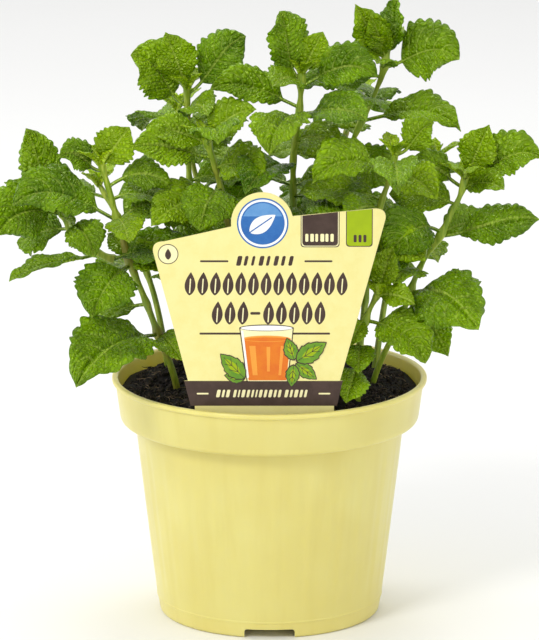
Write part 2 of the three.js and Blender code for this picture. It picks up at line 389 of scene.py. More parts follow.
class NodeSheet:
    """A node tree that grows node by node."""

    def __init__(self, tree: NodeTree) -> None:
        """Take a tree.

        Args:
            tree: the tree.
        """
        self.tree = tree

    def feed(self, socket: NodeSocket, value: object) -> None:
        """Link a socket to another, or set its value.

        Args:
            socket: the input.
            value: a socket to link from, a number or a colour.
        """
        # Leaf greens: shade and light are mixed by the cells' relief as painted shade and painted
        # light; the upper valley is painted shade between the cells, and the under valley is the
        # paler vein net.
        if isinstance(value, NodeSocket):
            self.tree.links.new(value, socket)
        elif isinstance(value, tuple) and len(value) == 3 and socket.type == "RGBA":
            socket.default_value = (*value, 1.0)
        else:
            socket.default_value = value

    def node(self, kind: str, inputs: dict[str | int, object] | None = None,
             **settings: object) -> Node:
        """Add a node.

        Args:
            kind: the node's type.
            inputs: what feeds its inputs, by their names or numbers.
            settings: its properties.

        Returns:
            The node.
        """
        made = self.tree.nodes.new(kind)
        for key, value in settings.items():
            setattr(made, key, value)
        for key, value in (inputs or {}).items():
            self.feed(made.inputs[key], value)
        return made


class GeometrySheet(NodeSheet):
    """A Geometry Nodes tree that changes one geometry."""

    def __init__(self, name: str, inputs: dict[str, str]) -> None:
        """Make the tree with its sockets.

        Args:
            name: the tree's name.
            inputs: the type of each input that it has besides the geometry.
        """
        super().__init__(bpy.data.node_groups.new(name, "GeometryNodeTree"))
        face = self.tree.interface
        face.new_socket("Geometry", in_out="INPUT", socket_type="NodeSocketGeometry")
        for key, kind in inputs.items():
            face.new_socket(key, in_out="INPUT", socket_type=f"NodeSocket{kind}")
        face.new_socket("Geometry", in_out="OUTPUT", socket_type="NodeSocketGeometry")
        self.given = self.node("NodeGroupInput").outputs

    def finish(self, made: Node, skin: Material) -> None:
        """Give a node's instances a material and let them out as plain geometry.

        Args:
            made: the node.
            skin: the material.
        """
        real = self.node("GeometryNodeRealizeInstances", {0: made.outputs[0]})
        dress = self.node("GeometryNodeSetMaterial", {"Geometry": real.outputs[0],
                                                      "Material": skin})
        self.node("NodeGroupOutput", {0: dress.outputs[0]})

    def run(self, thing: Object, values: dict[str, float]) -> None:
        """Run the tree on an object and keep what comes out as its mesh.

        Args:
            thing: the object.
            values: the value of each input, by name.
        """
        modifier = thing.modifiers.new("grow", "NODES")
        modifier.node_group = self.tree
        for item in self.tree.interface.items_tree:
            if item.in_out == "INPUT" and item.name in values:
                modifier[item.identifier] = values[item.name]
        apply_modifiers(thing)


class MaterialSheet(NodeSheet):
    """A material's node tree, with short calls for the nodes that the finishes use."""

    def __init__(self, name: str) -> None:
        """Make the material.

        Args:
            name: the material's name.
        """
        self.material = bpy.data.materials.new(name)
        self.material.use_nodes = True
        super().__init__(self.material.node_tree)
        self.shader = self.tree.nodes["Principled BSDF"]

    def math(self, operation: str, first: object, second: object = 0.0) -> NodeSocket:
        """Add a Math node.

        Args:
            operation: what it does.
            first: its first input.
            second: its second input.

        Returns:
            Its result.
        """
        made = self.node("ShaderNodeMath", {0: first, 1: second}, operation=operation)
        return made.outputs[0]

    def remap(self, value: object, low: float, high: float, to_low: float = 0.0,
              to_high: float = 1.0) -> NodeSocket:
        """Add a smooth Map Range node.

        Args:
            value: what is mapped.
            low: the value that gives to_low.
            high: the value that gives to_high.
            to_low: the first result.
            to_high: the last result.

        Returns:
            Its result.
        """
        inputs = dict(enumerate((value, low, high, to_low, to_high)))
        made = self.node("ShaderNodeMapRange", inputs, interpolation_type="SMOOTHSTEP")
        return made.outputs[0]

    def mix(self, factor: object, first: object, second: object) -> NodeSocket:
        """Mix two colours.

        Args:
            factor: how much of the second.
            first: the first colour.
            second: the second colour.

        Returns:
            The mixed colour.
        """
        made = self.node("ShaderNodeMix", data_type="RGBA")
        for key, value in (("Factor", factor), (6, first), (7, second)):
            self.feed(made.inputs[key], value)
        return made.outputs[2]

    def object_space(self) -> NodeSocket:
        """Add a Texture Coordinate node.

        Returns:
            The object coordinates.
        """
        return self.node("ShaderNodeTexCoord").outputs["Object"]

    def streak_space(self, squeeze: float) -> NodeSocket:
        """Squeeze the object coordinates along Z, so that a noise in them makes upright streaks.

        Args:
            squeeze: the share of the height that is left.

        Returns:
            The squeezed coordinates.
        """
        return self.node("ShaderNodeMapping", {"Scale": (1.0, 1.0, squeeze),
                                               "Vector": self.object_space()}).outputs[0]

    def map_place(self, name: str) -> tuple[NodeSocket, ...]:
        """Read one of the mesh's UV maps.

        Args:
            name: the map's name.

        Returns:
            The place itself, its first number and its second number.
        """
        place = self.node("ShaderNodeUVMap", uv_map=name).outputs[0]
        parts = self.node("ShaderNodeSeparateXYZ", {0: place})
        return place, parts.outputs[0], parts.outputs[1]

    def noise(self, scale: float, detail: float = 4.0, roughness: float = 0.55,
              vector: NodeSocket | None = None) -> NodeSocket:
        """Add a noise texture.

        Args:
            scale: how fine it is.
            detail: how many octaves.
            roughness: how strong the fine octaves are.
            vector: where it is read, in object coordinates unless given.

        Returns:
            The noise, about 0.5 on average.
        """
        inputs = {"Vector": vector or self.object_space(), "Scale": scale, "Detail": detail,
                  "Roughness": roughness}
        return self.node("ShaderNodeTexNoise", inputs).outputs["Fac"]

    def attribute(self, name: str) -> NodeSocket:
        """Return a number that the mesh stores.

        Args:
            name: the attribute's name.

        Returns:
            Its value.
        """
        return self.node("ShaderNodeAttribute", attribute_name=name).outputs["Fac"]

    def bump(self, height: NodeSocket, strength: float, distance: float) -> None:
        """Give the shader a bump.

        Args:
            height: the height, from 0 to 1.
            strength: how strong it is.
            distance: the real height of 1, in metres.
        """
        made = self.node("ShaderNodeBump", {"Strength": strength, "Distance": distance,
                                            "Height": height})
        self.feed(self.shader.inputs["Normal"], made.outputs["Normal"])

    def surface(self, **values: object) -> Material:
        """Set the shader's inputs.

        Args:
            values: each input's value, with _ for a space in its name.

        Returns:
            The material.
        """
        for key, value in values.items():
            self.feed(self.shader.inputs[key.replace("_", " ")], value)
        return self.material


class LeafSide(Enum):
    """The two faces of a leaf."""

    UPPER = "upper"
    UNDER = "under"


VEIN_PAIRS = 7
VEIN_SLANT = 0.24
VEIN_BEND = 1.2
CELLS_PER_CM = 6.4


@dataclass(frozen=True)
class LeafFinish:
    """The skin of a mint leaf: green, with paler veins.

    The blade map holds the share along the blade and across it. The real map holds centimetres
    along and across. shade and light are the greens of the low and the high places: the cells'
    relief mixes them as painted shade in the hollows and painted light on the raised cells, and
    random patches mix them as the leaf's own uneven tone. young is the green of the young leaves.
    valley is the colour of the net between the finest cells: painted shade in its crevices on
    the upper face, and the paler raised veins on the underside. relief is how far the cells
    rise, and they sink where it is negative.
    """

    side: LeafSide
    shade: Colour
    light: Colour
    young: Colour
    vein: Colour
    valley: Colour
    vein_strength: float
    roughness: float
    relief: float

    def vein_mask(self, sheet: MaterialSheet) -> tuple[NodeSocket, NodeSocket]:
        """Draw the veins.

        Args:
            sheet: the material.

        Returns:
            The mask of the midrib and side veins, and the height of the cells between the finest.
        """
        _, along, share = sheet.map_place("blade")
        real, _, sideways = sheet.map_place("real")
        across = sheet.math("SUBTRACT", sheet.math("MULTIPLY", share, 2.0), 1.0)
        across = sheet.math("ABSOLUTE", across)
        slant = sheet.math("MULTIPLY", sheet.math("POWER", across, VEIN_BEND), VEIN_SLANT)
        phase = sheet.math("MULTIPLY", sheet.math("SUBTRACT", along, slant), float(VEIN_PAIRS))
        to_vein = sheet.math("PINGPONG", phase, 0.5)
        side = sheet.remap(to_vein, 0.02, 0.11, 1.0, 0.0)
        side = sheet.math("MULTIPLY", side, sheet.remap(across, 0.3, 0.95, 0.55, 0.05))
        midrib = sheet.remap(sheet.math("ABSOLUTE", sideways), 0.016, 0.05, 1.0, 0.0)
        midrib = sheet.math("MULTIPLY", midrib, sheet.remap(along, 0.4, 1.0, 1.0, 0.4))
        mask = sheet.math("MAXIMUM", midrib, side)
        cells = sheet.node("ShaderNodeTexVoronoi", {"Vector": real, "Scale": CELLS_PER_CM},
                           feature="DISTANCE_TO_EDGE")
        return mask, sheet.remap(cells.outputs["Distance"], 0.0, 0.32)

    def material(self) -> Material:
        """Build the material.

        Returns:
            The material.
        """
        sheet = MaterialSheet(f"mint_leaf_{self.side.value}")
        mask, cells = self.vein_mask(sheet)
        patches = sheet.remap(sheet.noise(90.0, 3.0), 0.3, 0.7)
        # Painted light and shade: the relief darkens the green in the hollows and lightens it on
        # the raised cells; the patches are random tone.
        height = sheet.attribute("relief")
        painted_light_and_patches = sheet.math("ADD", sheet.math("MULTIPLY", height, 0.3),
                         sheet.math("MULTIPLY", patches, 0.55))
        green = sheet.mix(painted_light_and_patches, self.shade, self.light)
        green = sheet.mix(sheet.attribute("youth"), green, self.young)
        # Painted shade: the net between the finest cells is darkened towards valley on the upper
        # face; on the underside valley is the paler colour of the raised veins.
        between = sheet.remap(cells, 0.0, 0.7, 0.32, 0.0)
        green = sheet.mix(between, green, self.valley)
        colour = sheet.mix(sheet.math("MULTIPLY", mask, self.vein_strength), green, self.vein)
        speckle = sheet.noise(2600.0, 2.0)
        height = sheet.math("ADD", sheet.math("MULTIPLY", speckle, 0.12),
                            sheet.math("MULTIPLY", cells, self.relief))
        sheet.bump(height, 1.0, 0.00042)
        rough = sheet.remap(speckle, 0.3, 0.7, self.roughness - 0.07, self.roughness + 0.09)
        return sheet.surface(Base_Color=colour, Roughness=rough, Specular_IOR_Level=0.6,
                             Specular_Tint=(0.85, 1.0, 0.35, 1.0), Subsurface_Weight=0.1,
                             Subsurface_Scale=0.001, Subsurface_Radius=(0.5, 1.0, 0.2))


@dataclass(frozen=True)
class StemFinish:
    """The skin of a mint stem: pale green with reddish streaks along it."""

    green: Colour = srgb(124, 156, 20)
    pale: Colour = srgb(174, 190, 62)
    red: Colour = srgb(136, 108, 44)

    def material(self) -> Material:
        """Build the material.

        Returns:
            The material.
        """
        sheet = MaterialSheet("mint_stem_skin")
        streaks = sheet.noise(900.0, 3.0, vector=sheet.streak_space(0.08))
        blush = sheet.remap(sheet.noise(38.0, 2.0), 0.5, 0.72)
        colour = sheet.mix(sheet.remap(streaks, 0.35, 0.7), self.green, self.pale)
        colour = sheet.mix(sheet.math("MULTIPLY", blush, 0.6), colour, self.red)
        sheet.bump(streaks, 0.4, 0.0002)
        rough = sheet.remap(streaks, 0.3, 0.7, 0.42, 0.58)
        return sheet.surface(Base_Color=colour, Roughness=rough)


@dataclass(frozen=True)
class PotFinish:
    """Satin moulded plastic with faint flow streaks."""

    yellow: Colour = srgb(229, 217, 132)
    deep: Colour = srgb(218, 202, 110)
    roughness: float = 0.32

    def material(self) -> Material:
        """Build the material.

        Returns:
            The material.
        """
        sheet = MaterialSheet("pot_satin_plastic")
        streaks = sheet.noise(140.0, 3.0, vector=sheet.streak_space(0.03))
        clouds = sheet.noise(26.0, 2.0)
        colour = sheet.mix(sheet.remap(clouds, 0.3, 0.7, 0.0, 0.5), self.yellow, self.deep)
        colour = sheet.mix(sheet.remap(streaks, 0.45, 0.75, 0.0, 0.35), colour, self.deep)
        sheet.bump(streaks, 0.2, 0.0003)
        rough = sheet.remap(clouds, 0.3, 0.7, self.roughness - 0.03, self.roughness + 0.05)
        return sheet.surface(Base_Color=colour, Roughness=rough, Subsurface_Weight=0.35,
                             Subsurface_Scale=0.005, Subsurface_Radius=(1.0, 0.9, 0.4))


@dataclass(frozen=True)
class SoilFinish:
    """Dark moist peat, or the paler fibres and bark bits in it."""

    name: str
    dark: Colour
    pale: Colour
    scale: float = 420.0

    def material(self) -> Material:
        """Build the material.

        Returns:
            The material.
        """
        sheet = MaterialSheet(self.name)
        lumps = sheet.noise(self.scale, 6.0, 0.65)
        colour = sheet.mix(sheet.remap(lumps, 0.42, 0.72), self.dark, self.pale)
        sheet.bump(lumps, 0.9, 0.0012)
        rough = sheet.remap(lumps, 0.3, 0.7, 0.72, 0.95)
        return sheet.surface(Base_Color=colour, Roughness=rough, Specular_IOR_Level=0.3)


@dataclass(frozen=True)
class PrintFinish:
    """A printed colour on coated card, with the print's slight unevenness."""

    name: str
    ink: Colour
    worn: Colour
    roughness: float = 0.42

    def material(self) -> Material:
        """Build the material.

        Returns:
            The material.
        """
        sheet = MaterialSheet(self.name)
        cloud = sheet.noise(180.0, 5.0, 0.6)
        grain = sheet.noise(5200.0, 2.0)
        share = sheet.math("ADD", sheet.remap(cloud, 0.35, 0.7, 0.0, 0.6),
                           sheet.remap(grain, 0.4, 0.65, 0.0, 0.3))
        colour = sheet.mix(share, self.ink, self.worn)
        sheet.bump(grain, 0.12, 0.0001)
        rough = sheet.remap(cloud, 0.3, 0.7, self.roughness - 0.04, self.roughness + 0.06)
        return sheet.surface(Base_Color=colour, Roughness=rough, Specular_IOR_Level=0.3)


# ---- leaves
LINE_STEPS = 200          # points along a leaf's smoothed line
CELL_SHIFT = 7.0          # centimetres from one pattern of cells in the skin to the next
CELL_PATTERNS = 53
MOST_TONE = 0.3           # how much of the young green a grown leaf may have


@dataclass
class LeafLine:
    """The line that a leaf grows along.

    points run from the stem to the tip, above points out of the upper face at each of them, and
    stalk is the share of the length before the blade starts.
    """

    points: Array
    above: Array
    half_width: float
    stalk: float
    seed: int
    youth: float = 0.0

    @classmethod
    def from_node(cls, name: str, seed: int) -> "LeafLine":
        """Read a CAD leaf back.

        Args:
            name: the leaf's node.
            seed: what makes this leaf differ from the others.

        Returns:
            The leaf's line.
        """
        layers = PackedMesh(name).layers()
        rings = [layer for layer in layers if len(layer) == 4]
        centres, lifts, halves = [], [], []
        for ring in rings:
            gaps = np.linalg.norm(ring[:, None] - ring[None], axis=2)
            left, right = np.unravel_index(np.argmax(gaps), gaps.shape)
            others = [i for i in range(4) if i not in (left, right)]
            middle = ring[others].mean(axis=0)
            centres.append(middle)
            lifts.append((ring[left] + ring[right]) / 2 - middle)
            halves.append(gaps[left, right] / 2)
        lifts = np.array(lifts)
        lifts[:2] = lifts[2]
        points = np.vstack([centres, layers[-1]])
        above = unit(np.vstack([lifts, lifts[-1:]]))
        steps = step_lengths(points)
        stalk = steps[0] / steps.sum()
        return cls(points, above, max(halves[2:]), float(stalk), seed)

    @classmethod
    def from_arc(cls, base: Array, tip: Array, arch: float, width: float,
                 facing: Array, seed: int, youth: float = 0.0) -> "LeafLine":
        """Lay a leaf along an arc.

        Args:
            base: where its stalk leaves the stem.
            tip: where it ends.
            arch: how far its middle rises above the straight line.
            width: its greatest width.
            facing: the way that its upper face looks, as far as its line allows.
            seed: what makes this leaf differ from the others.
            youth: 0 for a grown leaf, 1 for one that has just opened.

        Returns:
            The leaf's line.
        """
        share = np.linspace(0, 1, 11)[:, None]
        control = (base + tip) / 2 + np.array([0, 0, arch])
        points = arc_points(base, control, tip, share)
        along = unit(np.gradient(points, axis=0))
        above = unit(facing - np.sum(facing * along, axis=1, keepdims=True) * along)
        return cls(points, above, width / 2, 0.1, seed, youth)


@dataclass(frozen=True)
class LeafNature:
    """How one leaf differs from the others of its kind.

    belly says how near to the stalk it is widest, point how pointed its ends are, lean how far
    it bends sideways, blisters how high its cells rise, fold how steeply its halves rise and curl
    how far their margins come down again. waves and start belong to the ripple of its margin.
    """

    belly: float
    point: float
    lean: float
    blisters: float
    fold: float
    waves: float
    start: float
    curl: float

    @classmethod
    def drawn(cls, seed: int) -> "LeafNature":
        """Draw a leaf's nature.

        Args:
            seed: what makes this leaf differ from the others.

        Returns:
            Its nature.
        """
        rng = np.random.default_rng(seed)
        return cls(belly=rng.uniform(0.7, 0.88), point=rng.uniform(0.78, 1.15),
                   lean=rng.uniform(-0.06, 0.06), blisters=rng.uniform(0.6, 1.15),
                   fold=rng.uniform(0.6, 1.25), waves=rng.uniform(2.0, 3.2),
                   start=rng.uniform(0, 2 * np.pi), curl=rng.uniform(0.35, 1.15))


def scrambled(value: Array, factor: float) -> Array:
    """Turn numbers into others that look random.

    Args:
        value: the numbers.
        factor: a large number, another one for another result.

    Returns:
        Numbers from 0 to 1, the same ones for the same input.
    """
    return np.mod(np.sin(value) * factor, 1.0)


@dataclass
class LeafGrower:
    """Grows the mesh of a leaf: toothed margin, sunken veins and raised cells between them.

    It has rows of points along the leaf, of which the first stalk_rows lie on the stalk.
    """

    rows: int = 88
    stalk_rows: int = 6
    columns: int = 50
    teeth: int = 10
    tooth_depth: float = 0.2
    thickness: float = 0.32 * MM
    stalk_half_width: float = 0.62 * MM
    stalk_thickness: float = 1.15 * MM
    fold: float = 0.38
    cell_height: float = 1.15 * MM
    cell_size: float = 2.3 * MM
    cell_rows: int = 2
    ripple: float = 0.11
    groove_depth: float = 0.28 * MM
    groove_width: float = 0.55 * MM
    rib_depth: float = 0.55 * MM
    rib_width: float = 0.6 * MM

    def frames(self, line: LeafLine) -> tuple[Array, Array, Array, float]:
        """Smooth a leaf's line.

        Args:
            line: the leaf's line.

        Returns:
            Points along it, the way across and the way out of the upper face at each, and its
            length.
        """
        steps = step_lengths(line.points)
        shares = np.concatenate([[0], np.cumsum(steps)]) / steps.sum()
        fine = np.linspace(0, 1, LINE_STEPS)
        curve = np.stack([np.polyval(np.polyfit(shares, line.points[:, k], 3), fine)
                          for k in range(3)], axis=1)
        along = unit(np.gradient(curve, axis=0))
        across = unit(np.cross(along, along_knots(fine, shares, line.above)))
        return curve, across, np.cross(across, along), float(steps.sum())

    def half_widths(self, line: LeafLine, nature: LeafNature, blade: Array, wide: Array) -> Array:
        """Return the leaf's half width, with the teeth of its margin.

        Args:
            line: the leaf's line.
            nature: how it differs from the others.
            blade: the share along the blade.
            wide: the share of the way from the midrib to the margin.

        Returns:
            The half width at each place.
        """
        shape = np.sin(np.pi * blade ** nature.belly) ** nature.point
        half = np.maximum(line.half_width * shape, self.stalk_half_width * (1 - 0.75 * blade))
        tooth = np.mod(blade * self.teeth + 0.15 * np.sin(9 * blade + line.seed), 1.0)
        uneven = 1 + 0.45 * np.sin(2.7 * np.floor(blade * self.teeth) + line.seed)
        scallop = np.sin(np.pi * np.clip(tooth, 0.001, 1) ** 1.6) ** 0.6 - 0.6
        saw = scallop * self.tooth_depth * uneven * smooth_step(0.02, 0.15, blade)
        return half * (1 + saw * smooth_step(0.72, 1.0, wide) * (1 - 0.6 * blade))

    def cells(self, blade: Array, across: Array, half: Array, seed: int) -> Array:
        """Return the height of the blistered surface between the veins, from 0 to 1.

        Args:
            blade: the share along the blade.
            across: the place across it, from -1 to 1.
            half: the blade's half width there.
            seed: what makes this leaf differ from the others.

        Returns:
            The height at each place.
        """
        wide = np.abs(across)
        phase = (blade - VEIN_SLANT * wide ** VEIN_BEND) * VEIN_PAIRS
        between = np.abs(np.sin(np.pi * phase)) ** 0.5
        u = phase * self.cell_rows + 0.12 * np.sin(9 * across + seed)
        w = wide * half / self.cell_size + 0.15 * np.sin(17 * blade + seed)
        side = np.sign(across) * 17.0 + seed
        near = np.full(blade.shape, np.inf)
        second = np.full(blade.shape, np.inf)
        for i in (-1, 0, 1):
            for j in (-1, 0, 1):
                row, column = np.floor(u) + i, np.floor(w) + j
                turn = row * 127.1 + column * 311.7 + side
                first = scrambled(turn, 43758.5453)
                other = scrambled(turn + 61.7, 24634.6345)
                gap = np.hypot(row + 0.5 + 0.6 * (first - 0.5) - u,
                               column + 0.5 + 0.6 * (other - 0.5) - w)
                second = np.minimum(second, np.maximum(near, gap))
                near = np.minimum(near, gap)
        dome = smooth_step(0.0, 0.5, second - near)
        ridge = np.abs(np.sin(np.pi * phase * self.cell_rows)) ** 0.7
        return 0.4 * between + 0.45 * dome + 0.15 * ridge

    def grid(self, line: LeafLine) -> dict[str, Array]:
        """Lay out the upper face.

        Args:
            line: the leaf's line.

        Returns:
            Its points, and for each the shares along and across the blade, the relief, the
            thickness below it and its real place.
        """
        nature = LeafNature.drawn(line.seed)
        curve, side, out, length = self.frames(line)
        t = np.concatenate([np.linspace(0, line.stalk, self.stalk_rows, endpoint=False),
                            np.linspace(line.stalk, 1, self.rows - self.stalk_rows)])
        along, across = np.meshgrid(t, np.linspace(-1, 1, self.columns), indexing="ij")
        wide = np.abs(across)
        blade = np.clip((along - line.stalk) / (1 - line.stalk), 0, 1)
        middle = np.sin(np.pi * blade)
        half = self.half_widths(line, nature, blade, wide)
        x = across * half + nature.lean * length * middle * blade
        body = smooth_step(0.0, 0.12, blade) * (1 - smooth_step(0.9, 1.0, blade))
        relief = self.cells(blade, across, half, line.seed) * body * nature.blisters
        relief = relief * (1 - smooth_step(0.86, 1.0, wide)) * smooth_step(0.0, 0.1, wide)
        fold = self.fold * nature.fold
        wave = np.sin(2 * np.pi * nature.waves * blade + nature.start + 1.1 * np.sign(across))
        z = half * fold * wide * (1.3 - nature.curl * wide) * smooth_step(0, 0.15, blade)
        z += self.ripple * line.half_width * wide ** 2 * wave * body
        z += self.cell_height * relief
        z -= self.groove_depth * np.exp(-(x / self.groove_width) ** 2) * body
        place = np.clip(along + 0.05 * wide ** 2 * middle, 0, 1)
        fine = np.linspace(0, 1, len(curve))
        centre, sideways, outward = (along_knots(place, fine, rows) for rows in (curve, side, out))
        return {"points": centre + sideways * x[..., None] + outward * z[..., None],
                "blade": blade, "across": across, "relief": relief,
                "depth": self.depths(blade, across, x),
                "real": np.stack([along * length, x], axis=-1) * 100}

    def depths(self, blade: Array, across: Array, x: Array) -> Array:
        """Return the leaf's thickness: thin, with a rib below the midrib and a round stalk.

        Args:
            blade: the share along the blade.
            across: the place across it, from -1 to 1.
            x: the distance from the leaf's line.

        Returns:
            The thickness at each place.
        """
        in_stalk = 1 - smooth_step(0.0, 0.1, blade)
        round_under = np.sqrt(np.clip(1 - across ** 2, 0, 1))
        rib = self.rib_depth * np.exp(-(x / self.rib_width) ** 2) * (1 - blade)
        depth = self.thickness * (1 - 0.7 * np.abs(across) ** 6) + rib
        stalk_depth = self.stalk_thickness * round_under + 0.05 * MM
        return depth * (1 - in_stalk) + stalk_depth * in_stalk

    def faces(self, shape: tuple[int, int]) -> tuple[Array, Array]:
        """Join the upper and the under face into one closed skin.

        Args:
            shape: rows and columns of the upper face.

        Returns:
            The corners of each face, and 1 for each that belongs to the underside.
        """
        rows, columns = shape
        index = np.arange(rows * columns).reshape(rows, columns)
        low, high = index[:-1], index[1:]
        upper = np.stack([low[:, :-1], low[:, 1:], high[:, 1:], high[:, :-1]], axis=-1)
        upper = upper.reshape(-1, 4)
        under = upper[:, ::-1] + rows * columns
        rim = np.concatenate([index[0, :-1], index[:-1, -1], index[-1, :0:-1], index[:0:-1, 0]])
        after = np.roll(rim, -1)
        wall = np.stack([after, rim, rim + rows * columns, after + rows * columns], axis=-1)
        faces = np.concatenate([upper, under, wall])
        under_side = np.concatenate([np.zeros(len(upper)), np.ones(len(under) + len(wall))])
        return faces, under_side.astype(np.int32)

    def grow(self, name: str, lines: list[LeafLine]) -> Object:
        """Make one object of one or more leaves.

        Args:
            name: the object's name.
            lines: the leaves' lines.

        Returns:
            The object, with two material places: the upper face and the underside.
        """
        points, faces, sides, blades, reals, reliefs, youths = [], [], [], [], [], [], []
        first = 0
        for line in lines:
            grid = self.grid(line)
            top = grid["points"]
            normal = unit(np.cross(np.gradient(top, axis=0), np.gradient(top, axis=1)))
            under = top + normal * grid["depth"][..., None]
            both = np.concatenate([top.reshape(-1, 3), under.reshape(-1, 3)])
            corners, side = self.faces(top.shape[:2])
            points.append(both)
            faces.append(corners + first)
            sides.append(side)
            first += len(both)
            blade = np.stack([grid["blade"], grid["across"] / 2 + 0.5], axis=-1).reshape(-1, 2)
            real = grid["real"].reshape(-1, 2) + [CELL_SHIFT * (line.seed % CELL_PATTERNS), 0.0]
            blades += [blade, blade]
            reals += [real, real]
            reliefs += [grid["relief"].ravel()] * 2
            tone = np.random.default_rng(line.seed + 1).uniform(0.0, MOST_TONE)
            youths.append(np.full(len(both), min(line.youth + tone, 1.0)))
        mesh = bpy.data.meshes.new(name)
        corners = np.concatenate(faces)
        mesh.vertices.add(first)
        mesh.vertices.foreach_set("co", np.concatenate(points).ravel())
        mesh.loops.add(corners.size)
        mesh.loops.foreach_set("vertex_index", corners.ravel())
        mesh.polygons.add(len(corners))
        mesh.polygons.foreach_set("loop_start", np.arange(len(corners)) * 4)
        mesh.polygons.foreach_set("material_index", np.concatenate(sides))
        for map_name, values in (("blade", blades), ("real", reals)):
            layer = mesh.uv_layers.new(name=map_name)
            layer.uv.foreach_set("vector", np.concatenate(values)[corners.ravel()].ravel())
        # relief also drives the painted light and shade in the leaf material.
        for key, values in (("relief", reliefs), ("youth", youths)):
            stored = mesh.attributes.new(key, "FLOAT", "POINT")
            stored.data.foreach_set("value", np.concatenate(values))
        mesh.validate()
        shade_smooth(mesh)
        return link(name, mesh)


# ---- stems
NEAREST_STEPS = 400       # points along a stem among which the nearest one is looked for


@dataclass
class StemLine:
    """A stem's middle line and the places where leaves leave it."""

    name: str
    points: Array
    leaf_places: list[Array] = field(default_factory=list)

    def at_height(self, height: float) -> Array:
        """Return the point of the stem at a height.

        Args:
            height: above the surface that the pot stands on.

        Returns:
            The point.
        """
        return along_knots(height, self.points[:, 2], self.points)

    def nearest(self, point: Array) -> Array:
        """Find the place of the stem that is nearest to a point.

        Args:
            point: the point.

        Returns:
            The nearest place of the middle line.
        """
        line = self.resampled(NEAREST_STEPS)
        return line[np.argmin(np.linalg.norm(line - point, axis=1))]

    def resampled(self, count: int) -> Array:
        """Return the middle line with another number of points.

        Args:
            count: how many.

        Returns:
            The points.
        """
        knots = np.arange(len(self.points))
        return along_knots(np.linspace(0, knots[-1], count), knots, self.points)


@dataclass
class StemMaker:
    """Sweeps a blunt square section along a stem's line with Geometry Nodes."""

    foot_width: float = 2.4 * MM
    top_width: float = 1.5 * MM
    corner: float = 0.3
    joint_swell: float = 0.34
    joint_length: float = 2.6 * MM
    widest: float = 1.45
    steps: int = 150
    blur: int = 9

    def sweep(self, skin: Material) -> GeometrySheet:
        """Build the sweep.

        Args:
            skin: the stem's material.

        Returns:
            The tree, with Side and Corner as its inputs.
        """
        sheet = GeometrySheet("stem_sweep", {"Side": "Float", "Corner": "Float"})
        given, node = sheet.given, sheet.node
        girth = node("GeometryNodeInputNamedAttribute", {"Name": "girth"},
                     data_type="FLOAT").outputs["Attribute"]
        curve = node("GeometryNodeMeshToCurve", {0: given["Geometry"]})
        thick = node("GeometryNodeSetCurveRadius", {"Curve": curve.outputs[0], "Radius": girth})
        square = node("GeometryNodeCurvePrimitiveQuadrilateral",
                      {"Width": given["Side"], "Height": given["Side"]})
        blunt = node("GeometryNodeFilletCurve", {"Curve": square.outputs[0], "Count": 3,
                                                 "Radius": given["Corner"]}, mode="POLY")
        swept = node("GeometryNodeCurveToMesh", {"Curve": thick.outputs[0], "Fill Caps": True,
                                                 "Profile Curve": blunt.outputs[0]})
        if "Scale" in swept.inputs:
            sheet.feed(swept.inputs["Scale"], girth)
        sheet.finish(swept, skin)
        return sheet

    def widths(self, line: StemLine, points: Array) -> Array:
        """Return the stem's width at each point, swollen where leaves join it.

        Args:
            line: the stem.
            points: the points along it.

        Returns:
            The widths.
        """
        share = np.linspace(0, 1, len(points))
        width = self.foot_width + (self.top_width - self.foot_width) * share
        for place in line.leaf_places:
            gap = np.linalg.norm(points - place, axis=1)
            width = width * (1 + self.joint_swell * np.exp(-(gap / self.joint_length) ** 2))
        return np.minimum(width, self.foot_width * self.widest)

    def build(self, line: StemLine, sweep: GeometrySheet, skin: Material) -> None:
        """Make a stem.

        Args:
            line: the stem's line.
            sweep: the sweep.
            skin: the stem's material.
        """
        points = line.resampled(self.steps)
        kernel = np.ones(self.blur) / self.blur
        margin = self.blur // 2
        padded = np.pad(points, ((margin, margin), (0, 0)), mode="reflect", reflect_type="odd")
        points = np.stack([np.convolve(padded[:, k], kernel, "valid") for k in range(3)], axis=1)
        mesh = bpy.data.meshes.new(line.name)
        mesh.from_pydata(points.tolist(), [(i, i + 1) for i in range(len(points) - 1)], [])
        girth = mesh.attributes.new("girth", "FLOAT", "POINT")
        girth.data.foreach_set("value", self.widths(line, points))
        piece = link(f"mint_{line.name}", mesh)
        sweep.run(piece, {"Side": 1.0, "Corner": self.corner})
        shade_smooth(piece.data)
        finish_piece(piece, [skin], (line.name,))


# ---- the plant
@dataclass(frozen=True)
class LeafSpot:
    """A small leaf: the height of its joint and its tip, in mm from the middle of the rim.

    front says how far its upper face is turned from looking up to looking forward.
    """

    height: float
    tip: tuple[float, float, float]
    arch: float
    width: float
    front: float = 0.9
    youth: float = 0.15

    def facing(self) -> Array:
        """Return the way that the leaf's upper face looks.

        Returns:
            A direction of length one.
        """
        return np.array([0.0, -math.sin(self.front), math.cos(self.front)])


